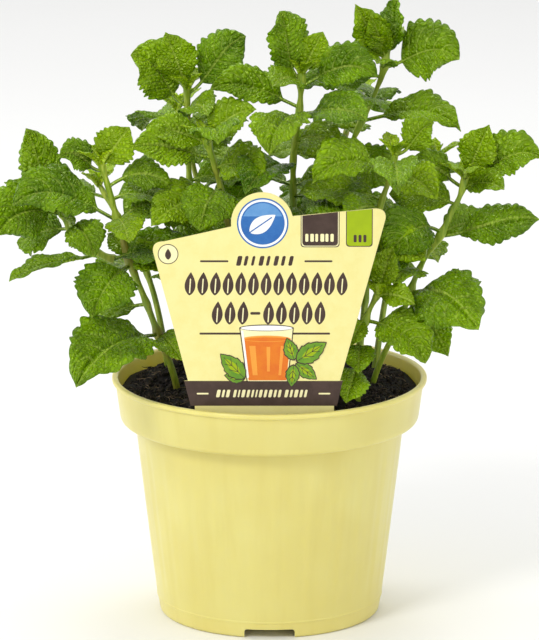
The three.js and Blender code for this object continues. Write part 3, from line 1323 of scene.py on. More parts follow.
PLAN_RIM = 60 * MM        # the radius of the rim that the small leaves' tips are given for
SMALL_LEAVES: dict[str, list[LeafSpot]] = {
    "left": [
        LeafSpot(87, (-52, -27, 102), 1, 14, 1.45), LeafSpot(50, (-39, -26, 47), 6, 13),
        LeafSpot(50, (-61, -12, 58), 3, 8), LeafSpot(19, (-33, -32, 14), 4, 10),
        LeafSpot(66, (-52, -44, 62), 5, 12),
    ],
    "side_shoot": [
        LeafSpot(66, (-99, -22, 80), 3, 9), LeafSpot(69, (-80, -24, 84), 2, 7),
        LeafSpot(60, (-76, -30, 68), 3, 8),
    ],
    "back_left": [
        LeafSpot(110, (-39, -2, 133), 1, 14, 1.45), LeafSpot(100, (-23, -20, 105), 8, 14),
        LeafSpot(88, (-12, 18, 92), 6, 16), LeafSpot(84, (-48, 22, 84), 6, 16),
    ],
    "centre_left": [
        LeafSpot(93, (-46, -24, 101), 4, 12), LeafSpot(95, (-5, -18, 107), 6, 13),
        LeafSpot(84, (-2, -30, 84), 6, 15), LeafSpot(72, (-44, -34, 66), 8, 17),
    ],
    "centre": [
        LeafSpot(118, (20, -6, 134), 1, 11, 1.4), LeafSpot(114, (1, -34, 119), 6, 13),
        LeafSpot(92, (26, -20, 92), 6, 15), LeafSpot(86, (30, 8, 86), 7, 15),
    ],
    "tall_right": [
        LeafSpot(120, (32, -4, 144), 1, 13, 1.45), LeafSpot(121, (38, -6, 140), 2, 9, 1.4),
        LeafSpot(97, (27, -10, 110), 4, 12),
        LeafSpot(94, (22, 24, 92), 6, 15), LeafSpot(118, (40, -16, 124), 4, 11),
        LeafSpot(77, (48, 4, 74), 8, 17),
    ],
    "mid_right": [
        LeafSpot(84, (62, -42, 78), 6, 14), LeafSpot(70, (28, -44, 70), 6, 14),
        LeafSpot(58, (58, -32, 52), 6, 15),
    ],
    "right": [
        LeafSpot(81, (82, -18, 101), 1, 13, 1.4), LeafSpot(76, (87, -34, 80), 5, 10),
        LeafSpot(80, (72, -42, 88), 5, 13), LeafSpot(70, (45, -6, 72), 4, 14),
        LeafSpot(44, (46, -38, 45), 5, 14), LeafSpot(36, (62, -20, 24), 4, 8),
        LeafSpot(57, (82, 0, 58), 6, 14), LeafSpot(33, (67, -30, 15), 5, 14),
    ],
    "low_right": [
        LeafSpot(39, (54, -42, 38), 4, 9),
        LeafSpot(40, (46, -38, 59), 3, 10), LeafSpot(30, (30, -42, 22), 3, 8),
        LeafSpot(11, (28.5, -45.5, 1), 4, 12, 1.2),
        LeafSpot(20, (33, -44, 12), 4, 11, 1.1), LeafSpot(28, (22, -26, 20), 4, 13, 0.8),
    ],
}


@dataclass
class MintPlant:
    """All the stems and leaves."""

    grower: LeafGrower = field(default_factory=LeafGrower)
    small_grower: LeafGrower = field(default_factory=lambda: LeafGrower(
        rows=48, columns=28, teeth=9, cell_height=0.55 * MM, cell_size=2.0 * MM))
    tip_grower: LeafGrower = field(default_factory=lambda: LeafGrower(
        rows=26, columns=16, teeth=6, cell_height=0.25 * MM, cell_rows=1, fold=0.6))
    stem_maker: StemMaker = field(default_factory=StemMaker)
    small_scale: float = 1.15
    fill_spacing: float = 10 * MM
    fill_start: float = 34 * MM
    fill_reach: float = 0.46
    joint_gap: float = 3.5 * MM

    def __post_init__(self) -> None:
        """Read the rim, the label and the stems from the frame."""
        low, high = node_box("pot")
        self.rim_height = high[2]
        self.spread = (high[0] - low[0]) / 2 / PLAN_RIM
        self.label_low, self.label_high = node_box("plant_label")
        self.box_low, self.box_high = (np.array(corner) for corner in CAD_BOX)
        self.stems = {name[len("stem_"):]: StemLine(name, PackedMesh(name).centre_line(28))
                      for name in nodes_named("stem_")}
        self.leaf_lines: dict[str, LeafLine] = {}

    def read_leaves(self) -> None:
        """Read the CAD leaves and run each stalk into its stem."""
        for seed, name in enumerate(nodes_named("leaf_")):
            line = LeafLine.from_node(name, seed * 7 + 3)
            stem = self.stems[name[len("leaf_"):].rsplit("_", 1)[0]]
            root = stem.nearest(line.points[0])
            stem.leaf_places.append(root)
            line.points = np.vstack([root, line.points])
            line.above = np.vstack([line.above[:1], line.above])
            steps = step_lengths(line.points)
            line.stalk = float(steps[:2].sum() / steps.sum())
            self.leaf_lines[name] = line

    def place(self, point: tuple[float, float, float]) -> Array:
        """Find a point in the frame.

        Args:
            point: in mm from the middle of a rim of the planned size.

        Returns:
            The same point in the frame, spread with the real rim.
        """
        x, y, z = point
        return np.array([self.spread * x, self.spread * y, z]) * MM + [0, 0, self.rim_height]

    def small_lines(self, stem_name: str) -> list[LeafLine]:
        """Return the small leaves of a stem.

        Args:
            stem_name: the stem.

        Returns:
            Their lines.
        """
        stem = self.stems[stem_name]
        lines = []
        for index, spot in enumerate(SMALL_LEAVES.get(stem_name, [])):
            base = stem.at_height(self.rim_height + spot.height * MM)
            stem.leaf_places.append(base)
            seed = 1000 + 31 * index + sum(map(ord, stem_name))
            lines.append(LeafLine.from_arc(base, self.place(spot.tip), spot.arch * MM,
                                           spot.width * self.small_scale * MM, spot.facing(), seed,
                                           spot.youth))
        return lines

    def is_free(self, tip: Array) -> bool:
        """Say whether a leaf may end at a point.

        It may end in the middle of the plant, well inside the box, off the label and the pot.

        Args:
            tip: the point.

        Returns:
            Whether it may.
        """
        inside = np.all(tip > self.box_low + 3 * MM) and np.all(tip < self.box_high - 3 * MM)
        by_label = tip[1] < self.label_high[1] + 6 * MM and tip[2] < self.label_high[2] + 8 * MM
        outer = abs(tip[0]) > self.fill_reach * self.box_high[0]
        return bool(inside and not by_label and not outer and tip[2] > self.rim_height + 6 * MM)

    def fill_lines(self, stem_name: str) -> list[LeafLine]:
        """Return the leaves in opposite pairs at the bare joints of a stem.

        Args:
            stem_name: the stem.

        Returns:
            Their lines.
        """
        stem = self.stems[stem_name]
        rng = np.random.default_rng(sum(map(ord, stem_name)))
        lines = []
        top = stem.points[-1, 2]
        heights = np.arange(self.rim_height + self.fill_start, top - 8 * MM, self.fill_spacing)
        for pair, height in enumerate(heights):
            base = stem.at_height(height)
            if any(np.linalg.norm(base - place) < self.joint_gap for place in stem.leaf_places):
                continue
            turn = pair * np.pi / 2 + rng.uniform(-0.4, 0.4)
            stem.leaf_places.append(base)
            for half in range(2):
                angle = turn + half * np.pi
                length = rng.uniform(23, 33) * MM
                drop = rng.uniform(-0.35, 0.2)
                way = np.array([math.cos(angle), math.sin(angle), drop])
                tip = base + way * length
                if not self.is_free(tip):
                    continue
                facing = np.array([0.5 * way[0], 0.5 * way[1] - 0.45, 0.8])
                lines.append(LeafLine.from_arc(base, tip, rng.uniform(5, 10) * MM,
                                               length * rng.uniform(0.6, 0.72),
                                               facing + rng.uniform(-0.25, 0.25, 3),
                                               4000 + len(lines)))
        return lines

    def tip_lines(self, stem_name: str) -> list[LeafLine]:
        """Return the youngest leaves at the top of a stem, in crossed pairs.

        Args:
            stem_name: the stem.

        Returns:
            Their lines.
        """
        stem = self.stems[stem_name]
        rng = np.random.default_rng(7 + sum(map(ord, stem_name)))
        top = stem.points[-1]
        turn = rng.uniform(0, np.pi)
        lines = []
        for pair, (length, rise, youth) in enumerate(((13, 0.55, 0.45), (9, 1.0, 0.7),
                                                      (6, 1.9, 1.0))):
            for half in range(2):
                angle = turn + pair * np.pi / 2 + half * np.pi
                way = unit(np.array([math.cos(angle), math.sin(angle), rise]))
                tip = top + way * length * MM
                tip[2] = min(tip[2], self.box_high[2] - MM)
                lines.append(LeafLine.from_arc(top - [0, 0, 0.6 * MM], tip, 1.5 * MM,
                                               length * 0.5 * MM, np.array([0, 0, 1.0]),
                                               6000 + 10 * pair + half, youth))
        return lines

    def build(self, upper: Material, under: Material, skin: Material) -> None:
        """Grow the plant.

        Args:
            upper: the material of the leaves' upper faces.
            under: the material of their undersides.
            skin: the material of the stems.
        """
        self.read_leaves()
        for name, line in self.leaf_lines.items():
            leaf = self.grower.grow(f"mint_{name}", [line])
            finish_piece(leaf, [upper, under], (name,))
        log.info("%d grown leaves", len(self.leaf_lines))
        for name in self.stems:
            small = self.small_lines(name) + self.fill_lines(name)
            if small:
                leaf = self.small_grower.grow(f"mint_small_leaves_{name}", small)
                finish_piece(leaf, [upper, under])
            tips = self.tip_grower.grow(f"mint_shoot_tip_{name}", self.tip_lines(name))
            finish_piece(tips, [upper, under])
            log.info("stem %s with %d small leaves and its tip", name, len(small))
        sweep = self.stem_maker.sweep(skin)
        for stem in self.stems.values():
            self.stem_maker.build(stem, sweep, skin)
        bpy.data.node_groups.remove(sweep.tree)


# ---- pot
def rounded_profile(corners: list[tuple[float, float, float]], steps: int = 5) -> Array:
    """Round the corners of a profile.

    Args:
        corners: each corner's radius from the axis, height and fillet.
        steps: how many pieces each fillet has.

    Returns:
        The points of the rounded profile.
    """
    places = np.array([corner[:2] for corner in corners])
    points = [places[0]]
    for before, here, after, corner in zip(places, places[1:], places[2:], corners[1:]):
        back, on = before - here, after - here
        reach = min(corner[2], 0.45 * np.linalg.norm(back), 0.45 * np.linalg.norm(on))
        if reach < 1e-6:
            points.append(here)
            continue
        start, end = here + unit(back) * reach, here + unit(on) * reach
        points += [arc_points(start, here, end, share) for share in np.linspace(0, 1, steps + 1)]
    points.append(places[-1])
    return np.array(points)


def split_long(profile: Array, longest: float) -> Array:
    """Add points to a profile's long stretches.

    Args:
        profile: the profile.
        longest: the longest stretch that stays whole.

    Returns:
        The finer profile.
    """
    points = [profile[0]]
    for start, end in zip(profile, profile[1:]):
        count = max(1, math.ceil(np.linalg.norm(end - start) / longest))
        points += [start + (end - start) * k / count for k in range(1, count + 1)]
    return np.array(points)


def lathe(name: str, profile: Array, segments: int) -> Object:
    """Turn a profile about the Z axis into a closed body.

    Args:
        name: the object's name.
        profile: radius and height of each point; the first and the last are on the axis.
        segments: how many steps round the axis.

    Returns:
        The object.
    """
    angles = np.arange(segments) / segments * 2 * np.pi
    inner = profile[1:-1]
    rings = np.stack([inner[:, :1] * np.cos(angles), inner[:, :1] * np.sin(angles),
                      np.repeat(inner[:, 1:], segments, axis=1)], axis=-1)
    points = np.vstack([rings.reshape(-1, 3), [0, 0, profile[0, 1]], [0, 0, profile[-1, 1]]])
    index, quads = tube_faces(len(inner), segments)
    count = index.size
    first = [(count, int(b), int(a)) for a, b in zip(index[0], np.roll(index[0], -1))]
    last = [(count + 1, int(a), int(b)) for a, b in zip(index[-1], np.roll(index[-1], -1))]
    return mesh_from_bmesh(name, bmesh_of(points, quads.tolist() + first + last))


def set_points(mesh: Mesh, points: Array) -> None:
    """Move a mesh's points.

    Args:
        mesh: the mesh.
        points: its new points.
    """
    mesh.vertices.foreach_set("co", points.ravel())
    mesh.update()


def get_points(mesh: Mesh) -> Array:
    """Read a mesh's points.

    Args:
        mesh: the mesh.

    Returns:
        One row for each point.
    """
    points = np.empty(len(mesh.vertices) * 3)
    mesh.vertices.foreach_get("co", points)
    return points.reshape(-1, 3)


FLUTES = ((41, 1.0, 0.7), (67, 0.8, 2.1), (23, 0.6, 4.0))     # count, share and phase


@dataclass
class NurseryPot:
    """The thin-walled pot: lip, collar, tapered body, foot skirt with notches and drain holes.

    Its main radii and heights are read back from the CAD node's rings.
    """

    wall: float = 1.3 * MM
    segments: int = 240
    flute_depth: float = 0.07 * MM
    drain_radius: float = 4.0 * MM
    drain_ring: float = 26.0 * MM
    drain_count: int = 6
    notch_width: float = 19.0 * MM
    notch_count: int = 3
    skirt: float = 4.0 * MM
    skirt_width: float = 3.6 * MM
    floor: float = 1.4 * MM
    lip_height: float = 1.6 * MM
    lip_width: float = 2.3 * MM
    lip_reach: float = 1.3 * MM

    def __post_init__(self) -> None:
        """Read the rings of the CAD pot."""
        rings = PackedMesh("pot").rings()
        self.rim, self.height = rings.max(axis=0)
        high = rings[rings[:, 1] > self.height / 2]
        steps = [(np.ptp(high[high[:, 1] == level, 0]), level) for level in set(high[:, 1])]
        self.collar_foot = max(steps)[1]
        at_step = high[high[:, 1] == self.collar_foot, 0]
        self.body_top = at_step.min()
        self.collar_low = at_step.max() + 0.8 * MM
        self.body_foot = rings[rings[:, 1] < 3 * MM, 0].max()

    def profile(self) -> Array:
        """Draw the pot's profile.

        Returns:
            Its points, from the floor's underside round to its upper side.
        """
        top, foot = self.height, self.body_foot
        inner_foot = foot - self.wall
        skirt_in = foot - self.skirt_width
        collar_top = self.rim - self.lip_reach
        floor_top = self.skirt + self.floor
        corners = [
            (0.0, self.skirt, 0.0), (skirt_in, self.skirt, 0.5 * MM), (skirt_in, 0.0, 0.5 * MM),
            (foot - 0.9 * MM, 0.0, 1.5 * MM), (foot + 0.25 * MM, 6.0 * MM, 0.2 * MM),
            (foot + 0.45 * MM, 6.1 * MM, 0.1 * MM), (foot + 0.5 * MM, 6.7 * MM, 0.2 * MM),
            (foot + 0.4 * MM, 6.9 * MM, 0.1 * MM),
            (self.body_top, self.collar_foot, 1.3 * MM),
            (self.collar_low - 0.2 * MM, self.collar_foot, 2.2 * MM),
            (collar_top, top - 2.1 * MM, 0.5 * MM), (self.rim, top - self.lip_height, 0.6 * MM),
            (self.rim, top, 0.8 * MM), (self.rim - self.lip_width, top, 0.8 * MM),
            (collar_top - self.wall, top - 1.9 * MM, 0.5 * MM),
            (self.collar_low - self.wall, self.collar_foot + self.wall, 1.4 * MM),
            (self.body_top - self.wall, self.collar_foot + self.wall - 0.2 * MM, 1.4 * MM),
            (inner_foot, floor_top, 1.6 * MM), (0.0, floor_top, 0.0)]
        return split_long(rounded_profile(corners), 2.6 * MM)

    def cutter(self) -> Object:
        """Make the solids that are cut away: the drain holes and the notches in the foot.

        Returns:
            All of them as one object.
        """
        work = bmesh.new()
        for index in range(self.drain_count):
            angle = (index + 0.5) / self.drain_count * 2 * math.pi
            made = bmesh.ops.create_cone(work, cap_ends=True, segments=40,
                                         radius1=self.drain_radius, radius2=self.drain_radius,
                                         depth=20 * MM)
            shift = Vector((self.drain_ring * math.cos(angle),
                            self.drain_ring * math.sin(angle), self.skirt))
            bmesh.ops.translate(work, verts=made["verts"], vec=shift)
        height = self.skirt - 0.4 * MM
        for index in range(self.notch_count):
            angle = -math.pi / 2 + index / self.notch_count * 2 * math.pi
            made = bmesh.ops.create_cube(work, size=1.0)
            verts = made["verts"]
            bmesh.ops.scale(work, verts=verts, vec=(14 * MM, self.notch_width, 2 * height))
            edges = {edge for vert in verts for edge in vert.link_edges
                     if abs(edge.verts[0].co.x - edge.verts[1].co.x) > 5 * MM}
            bevelled = bmesh.ops.bevel(work, geom=list(edges), offset=1.2 * MM, segments=5,
                                       affect="EDGES", profile=0.5)
            verts = list({v for face in bevelled["faces"] for v in face.verts}
                         | {v for v in verts if v.is_valid})
            rotation = Vector((math.cos(angle), math.sin(angle), 0))
            for vert in verts:
                x, y, z = vert.co.x + self.body_foot, vert.co.y, vert.co.z
                vert.co = (x * rotation.x - y * rotation.y, x * rotation.y + y * rotation.x, z)
        return mesh_from_bmesh("pot_cutter", work)

    def build(self, plastic: Material) -> None:
        """Make the pot.

        Args:
            plastic: its material.
        """
        pot = lathe("nursery_pot", self.profile(), self.segments)
        points = get_points(pot.data)
        radius = np.hypot(points[:, 0], points[:, 1])
        angle = np.arctan2(points[:, 1], points[:, 0])
        span = smooth_step(8 * MM, 20 * MM, points[:, 2])
        span *= 1 - smooth_step(self.collar_foot - 12 * MM, self.collar_foot - 2 * MM, points[:, 2])
        outside = radius > np.interp(points[:, 2], [0, self.collar_foot],
                                     [self.body_foot, self.body_top]) - 0.6 * self.wall
        flutes = sum(share * np.cos(count * angle + phase) for count, share, phase in FLUTES)
        grow = 1 + self.flute_depth * flutes * span * outside / np.maximum(radius, MM)
        points[:, :2] *= grow[:, None]
        set_points(pot.data, points)
        cutter = self.cutter()
        cut = pot.modifiers.new("cut", "BOOLEAN")
        cut.operation = "DIFFERENCE"
        cut.solver = "EXACT"
        cut.object = cutter
        apply_modifiers(pot)
        bpy.data.objects.remove(cutter)
        pot.data.shade_smooth()
        pot.data.set_sharp_from_angle(angle=math.radians(38))
        finish_piece(pot, [plastic], ("pot",))


# ---- soil
@dataclass(frozen=True)
class ScatterPlan:
    """How bits lie on the soil: how many, how large and with which seed.

    The scatter's inputs have the same names.
    """

    name: str
    density: float
    smallest: float
    largest: float
    detail: int
    seed: int


@dataclass
class PottingSoil:
    """The root ball with its rough top, and the crumbs and fibres that lie on it."""

    segments: int = 220
    rings: int = 64
    roughness: float = 2.6 * MM
    bed_share: float = 0.945
    coarse: ScatterPlan = ScatterPlan("soil_clods", 100000.0, 1.2 * MM, 3.6 * MM, 2, 3)
    fine: ScatterPlan = ScatterPlan("soil_crumbs", 500000.0, 0.5 * MM, 1.25 * MM, 1, 8)
    fibres: ScatterPlan = ScatterPlan("soil_fibres", 60000.0, 3.0 * MM, 8.0 * MM, 0, 5)

    def __post_init__(self) -> None:
        """Read the soil's rings from the CAD node."""
        packed = PackedMesh("potting_soil")
        found = packed.rings()
        self.crown = packed.points[:, 2].max()
        edge = found[np.argmax(found[:, 0])]
        self.edge_radius, self.edge_height = edge
        self.lower = found[found[:, 1] < self.edge_height - MM]
        self.lower = self.lower[np.lexsort((self.lower[:, 0], self.lower[:, 1]))]

    def lumps(self, x: Array, y: Array) -> Array:
        """Return the soil's height above its smooth dome.

        Args:
            x: the places' x.
            y: the places' y.

        Returns:
            The heights.
        """
        rng = np.random.default_rng(12)
        height = np.zeros_like(x)
        for step in range(5):
            cells = 0.09 / 2 ** step
            for _ in range(6):
                angle, phase = rng.uniform(0, 2 * np.pi, 2)
                way = x * np.cos(angle) + y * np.sin(angle)
                height += np.sin(2 * np.pi * way / cells * 1.7 + phase) * 0.42 / 1.7 ** step
        return height * self.roughness * 0.5

    def dome(self, x: Array, y: Array) -> Array:
        """Return the height of the rough top.

        Args:
            x: the places' x.
            y: the places' y.

        Returns:
            The heights.
        """
        share = np.hypot(x, y) / self.edge_radius
        smooth = self.crown - (self.crown - self.edge_height) * share ** 2
        return smooth + self.lumps(x, y) * (1 - 0.75 * smooth_step(0.78, 0.96, share))

    def body(self, peat: Material) -> None:
        """Make the root ball.

        Args:
            peat: its material.
        """
        low = self.lower[self.lower[:, 1] < self.lower[:, 1].min() + 1e-5]
        side = [(0.0, low[0, 1], 0.0), (low[:, 0].max(), low[0, 1], MM)]
        side += [(r, z, 0.5 * MM) for r, z in self.lower[self.lower[:, 1] > low[0, 1] + MM]]
        side.append((self.edge_radius, self.edge_height, 0.0))
        below = split_long(rounded_profile(side), 5 * MM)
        radii = np.linspace(self.edge_radius, 0, self.rings)[1:]
        above = np.stack([radii, np.full(len(radii), self.edge_height)], axis=1)
        soil = lathe("root_ball", np.vstack([below, above]), self.segments)
        points = get_points(soil.data)
        top = points[:, 2] > self.edge_height - 1e-6
        points[top, 2] = self.dome(points[top, 0], points[top, 1])
        set_points(soil.data, points)
        shade_smooth(soil.data)
        finish_piece(soil, [peat], ("potting_soil",))

    def bed(self) -> Mesh:
        """Make the part of the top that bits are scattered over.

        Returns:
            Its mesh.
        """
        work = bmesh.new()
        bmesh.ops.create_circle(work, cap_ends=True, segments=48,
                                radius=self.edge_radius * self.bed_share)
        bmesh.ops.triangulate(work, faces=work.faces)
        for _ in range(4):
            bmesh.ops.subdivide_edges(work, edges=work.edges, cuts=1, use_grid_fill=True)
        places = np.array([vert.co[:] for vert in work.verts])
        for vert, height in zip(work.verts, self.dome(places[:, 0], places[:, 1])):
            vert.co.z = height
        mesh = bpy.data.meshes.new("soil_bed")
        work.to_mesh(mesh)
        work.free()
        return mesh

    def fibre(self) -> Object:
        """Make one root fibre that the scatter repeats.

        Returns:
            The fibre, of length one.
        """
        steps, sides = 9, 5
        t = np.linspace(-0.5, 0.5, steps)
        line = np.stack([t, 0.16 * np.sin(5.2 * t), 0.09 * np.cos(7.0 * t) + 0.05], axis=1)
        angles = np.arange(sides) / sides * 2 * np.pi
        girth = 0.021 * np.sqrt(np.clip(1.02 - (2 * t) ** 4, 0.1, 1))
        rings = np.stack([np.repeat(line[:, :1], sides, 1),
                          line[:, 1:2] + girth[:, None] * np.cos(angles),
                          line[:, 2:] + girth[:, None] * np.sin(angles)], axis=-1)
        index, quads = tube_faces(steps, sides)
        ends = [index[0].tolist(), index[-1, ::-1].tolist()]
        work = bmesh_of(rings.reshape(-1, 3), quads.tolist() + ends)
        return mesh_from_bmesh("soil_fibre", work)

    def spread(self, paint: Material, shape: Object | None) -> GeometrySheet:
        """Build the scatter.

        Args:
            paint: the bits' material.
            shape: the object that is repeated, or None for noisy clods.

        Returns:
            The tree, with Density, Smallest, Largest, Detail and Seed as its inputs.
        """
        sheet = GeometrySheet("soil_scatter", {"Density": "Float", "Smallest": "Float",
                                               "Largest": "Float", "Detail": "Int",
                                               "Seed": "Int"})
        given, node, full_turn = sheet.given, sheet.node, (math.tau, math.tau, math.tau)
        spots = node("GeometryNodeDistributePointsOnFaces",
                     {"Mesh": given["Geometry"], "Density": given["Density"],
                      "Seed": given["Seed"]})
        turn = node("FunctionNodeRandomValue", {1: full_turn, "Seed": given["Seed"]},
                    data_type="FLOAT_VECTOR")
        size = node("FunctionNodeRandomValue", {2: given["Smallest"], 3: given["Largest"],
                                                "Seed": given["Seed"]}, data_type="FLOAT")
        place = node("GeometryNodeInstanceOnPoints", {"Points": spots.outputs["Points"]})
        if shape is None:
            ball = node("GeometryNodeMeshIcoSphere", {"Radius": 0.5,
                                                      "Subdivisions": given["Detail"]})
            rough = node("ShaderNodeTexNoise", {"Scale": 2.6})
            offset = node("ShaderNodeVectorMath", {0: rough.outputs["Color"], 1: (0.9, 1.1, 0.8),
                                                   2: (-0.45, -0.55, -0.4)},
                          operation="MULTIPLY_ADD")
            bit = node("GeometryNodeSetPosition", {"Geometry": ball.outputs["Mesh"],
                                                   "Offset": offset.outputs[0]})
            stretch = node("FunctionNodeRandomValue", {0: (0.6, 0.6, 0.6), 1: (1.5, 1.1, 0.9)},
                           data_type="FLOAT_VECTOR")
            scale = node("ShaderNodeVectorMath", operation="SCALE")
            sheet.feed(scale.inputs[0], stretch.outputs[0])
            sheet.feed(scale.inputs["Scale"], size.outputs[1])
            ways = {"Instance": bit.outputs[0], "Rotation": turn.outputs[0],
                    "Scale": scale.outputs[0]}
        else:
            source = node("GeometryNodeObjectInfo", {"Object": shape})
            lie = node("ShaderNodeVectorMath", {0: turn.outputs[0], 1: (0.16, 0.16, 1.0),
                                                2: (-0.5, -0.5, 0.0)}, operation="MULTIPLY_ADD")
            ways = {"Instance": source.outputs["Geometry"], "Rotation": lie.outputs[0],
                    "Scale": size.outputs[1]}
        for key, value in ways.items():
            sheet.feed(place.inputs[key], value)
        sheet.finish(place, paint)
        return sheet

    def scatter(self, plan: ScatterPlan, paint: Material, shape: Object | None = None) -> None:
        """Lay bits over the soil.

        Args:
            plan: how many, how large and which seed.
            paint: their material.
            shape: the object that is repeated, or None for clods.
        """
        piece = link(plan.name, self.bed())
        sheet = self.spread(paint, shape)
        sheet.run(piece, {key.capitalize(): value for key, value in vars(plan).items()})
        bpy.data.node_groups.remove(sheet.tree)
        shade_smooth(piece.data)
        finish_piece(piece, [paint])
        log.info("%s: %d faces", plan.name, len(piece.data.polygons))

    def build(self, peat: Material, bits: Material, roots: Material) -> None:
        """Make the soil.

        Args:
            peat: the material of the root ball and the fine crumbs.
            bits: the material of the clods.
            roots: the material of the fibres.
        """
        self.body(peat)
        self.scatter(self.coarse, bits)
        self.scatter(self.fine, peat)
        fibre = self.fibre()
        self.scatter(self.fibres, roots, fibre)
        bpy.data.objects.remove(fibre)


# ---- label
Outline = list[tuple[float, float]]


class Ink(Enum):
    """The label's printed colours."""

    BROWN = "brown"
    WHITE = "white"
    BLUE = "blue"
    SKY = "light_blue"
    GREEN = "green"
    LEAF = "leaf_green"
    TEA = "tea_orange"
    FOAM = "tea_light"
    CREAM = "cream"


def disc(x: float, z: float, radius: float, count: int = 56) -> Outline:
    """Return a round outline.

    Args:
        x: its middle.
        z: its middle.
        radius: its radius.
        count: how many points.

    Returns:
        The outline.
    """
    turns = [k / count * math.tau for k in range(count)]
    return [(x + radius * math.cos(turn), z + radius * math.sin(turn)) for turn in turns]


def turned(outline: Outline, x: float, z: float, angle: float) -> Outline:
    """Turn an outline about its origin and move it.

    Args:
        outline: the outline.
        x: where its origin goes.
        z: where its origin goes.
        angle: how far it turns, in degrees.

    Returns:
        The turned outline.
    """
    cos, sin = math.cos(math.radians(angle)), math.sin(math.radians(angle))
    return [(x + a * cos - b * sin, z + a * sin + b * cos) for a, b in outline]


def oval(x: float, z: float, half: float, rise: float) -> Outline:
    """Return the outline of an upright ellipse.

    Args:
        x: its middle.
        z: its middle.
        half: half its width.
        rise: half its height.

    Returns:
        The outline.
    """
    return [(x + half * a, z + rise * b) for a, b in disc(0, 0, 1, 48)]


def bar(left: float, right: float, low: float, high: float, corner: float = 0.4,
        lean: float = 0.0) -> Outline:
    """Return a box with round corners.

    Args:
        left: its left side.
        right: its right side.
        low: its lower side.
        high: its upper side.
        corner: its corners' radius.
        lean: how far its top leans to the right.

    Returns:
        The outline.
    """
    corner = min(corner, (right - left) / 2, (high - low) / 2)
    points = []
    for x, z, start in ((right - corner, high - corner, 0.0), (left + corner, high - corner, 0.25),
                        (left + corner, low + corner, 0.5), (right - corner, low + corner, 0.75)):
        for k in range(6):
            turn = (start + k / 20) * math.tau
            points.append((x + corner * math.cos(turn), z + corner * math.sin(turn)))
    middle = (low + high) / 2
    return [(x + lean * (z - middle) / (high - low), z) for x, z in points]


def leaf_outline(x: float, z: float, length: float, width: float, angle: float,
                 teeth: int = 5) -> Outline:
    """Return the outline of a drawn leaf.

    Args:
        x: its stalk's end.
        z: its stalk's end.
        length: its length.
        width: its width.
        angle: its direction, in degrees.
        teeth: how many teeth each side has.

    Returns:
        The outline.
    """
    sides = []
    for side in (1, -1):
        for k in range(25):
            t = k / 24
            half = width / 2 * math.sin(math.pi * t ** 0.8) ** 0.9
            half *= 1 + (0.16 * ((t * teeth) % 1.0 - 0.5) if teeth and 0.06 < t < 0.95 else 0.0)
            sides.append((t * length, side * half))
    points = sides[24::-1] + sides[26:49]
    return turned(points[::-1], x, z, angle)


def tab(left: tuple[float, float], right: tuple[float, float], foot: float, rim: float) -> Outline:
    """Return a hanging tab with round lower corners.

    Args:
        left: its upper left corner.
        right: its upper right corner.
        foot: the height of its lower edge.
        rim: how far its sides and foot are drawn in.

    Returns:
        The outline.
    """
    low, start, stop, corner = foot + rim, left[0] + rim, right[0] - rim, 1.2
    turns = np.linspace(0, math.pi / 2, 7)
    corners = [(start + corner - corner * math.cos(a), low + corner - corner * math.sin(a))
               for a in turns]
    corners += [(stop - corner + corner * math.sin(a), low + corner - corner * math.cos(a))
                for a in turns]
    return corners + [(stop, right[1]), (start, left[1])]


def stroke(start: tuple[float, float], end: tuple[float, float], width: float) -> Outline:
    """Return the outline of a straight stroke.

    Args:
        start: where it starts.
        end: where it ends.
        width: its width.

    Returns:
        The outline.
    """
    along = math.hypot(end[0] - start[0], end[1] - start[1])
    x = -(end[1] - start[1]) / along * width / 2
    z = (end[0] - start[0]) / along * width / 2
    return [(start[0] - x, start[1] - z), (end[0] - x, end[1] - z),
            (end[0] + x, end[1] + z), (start[0] + x, start[1] + z)]


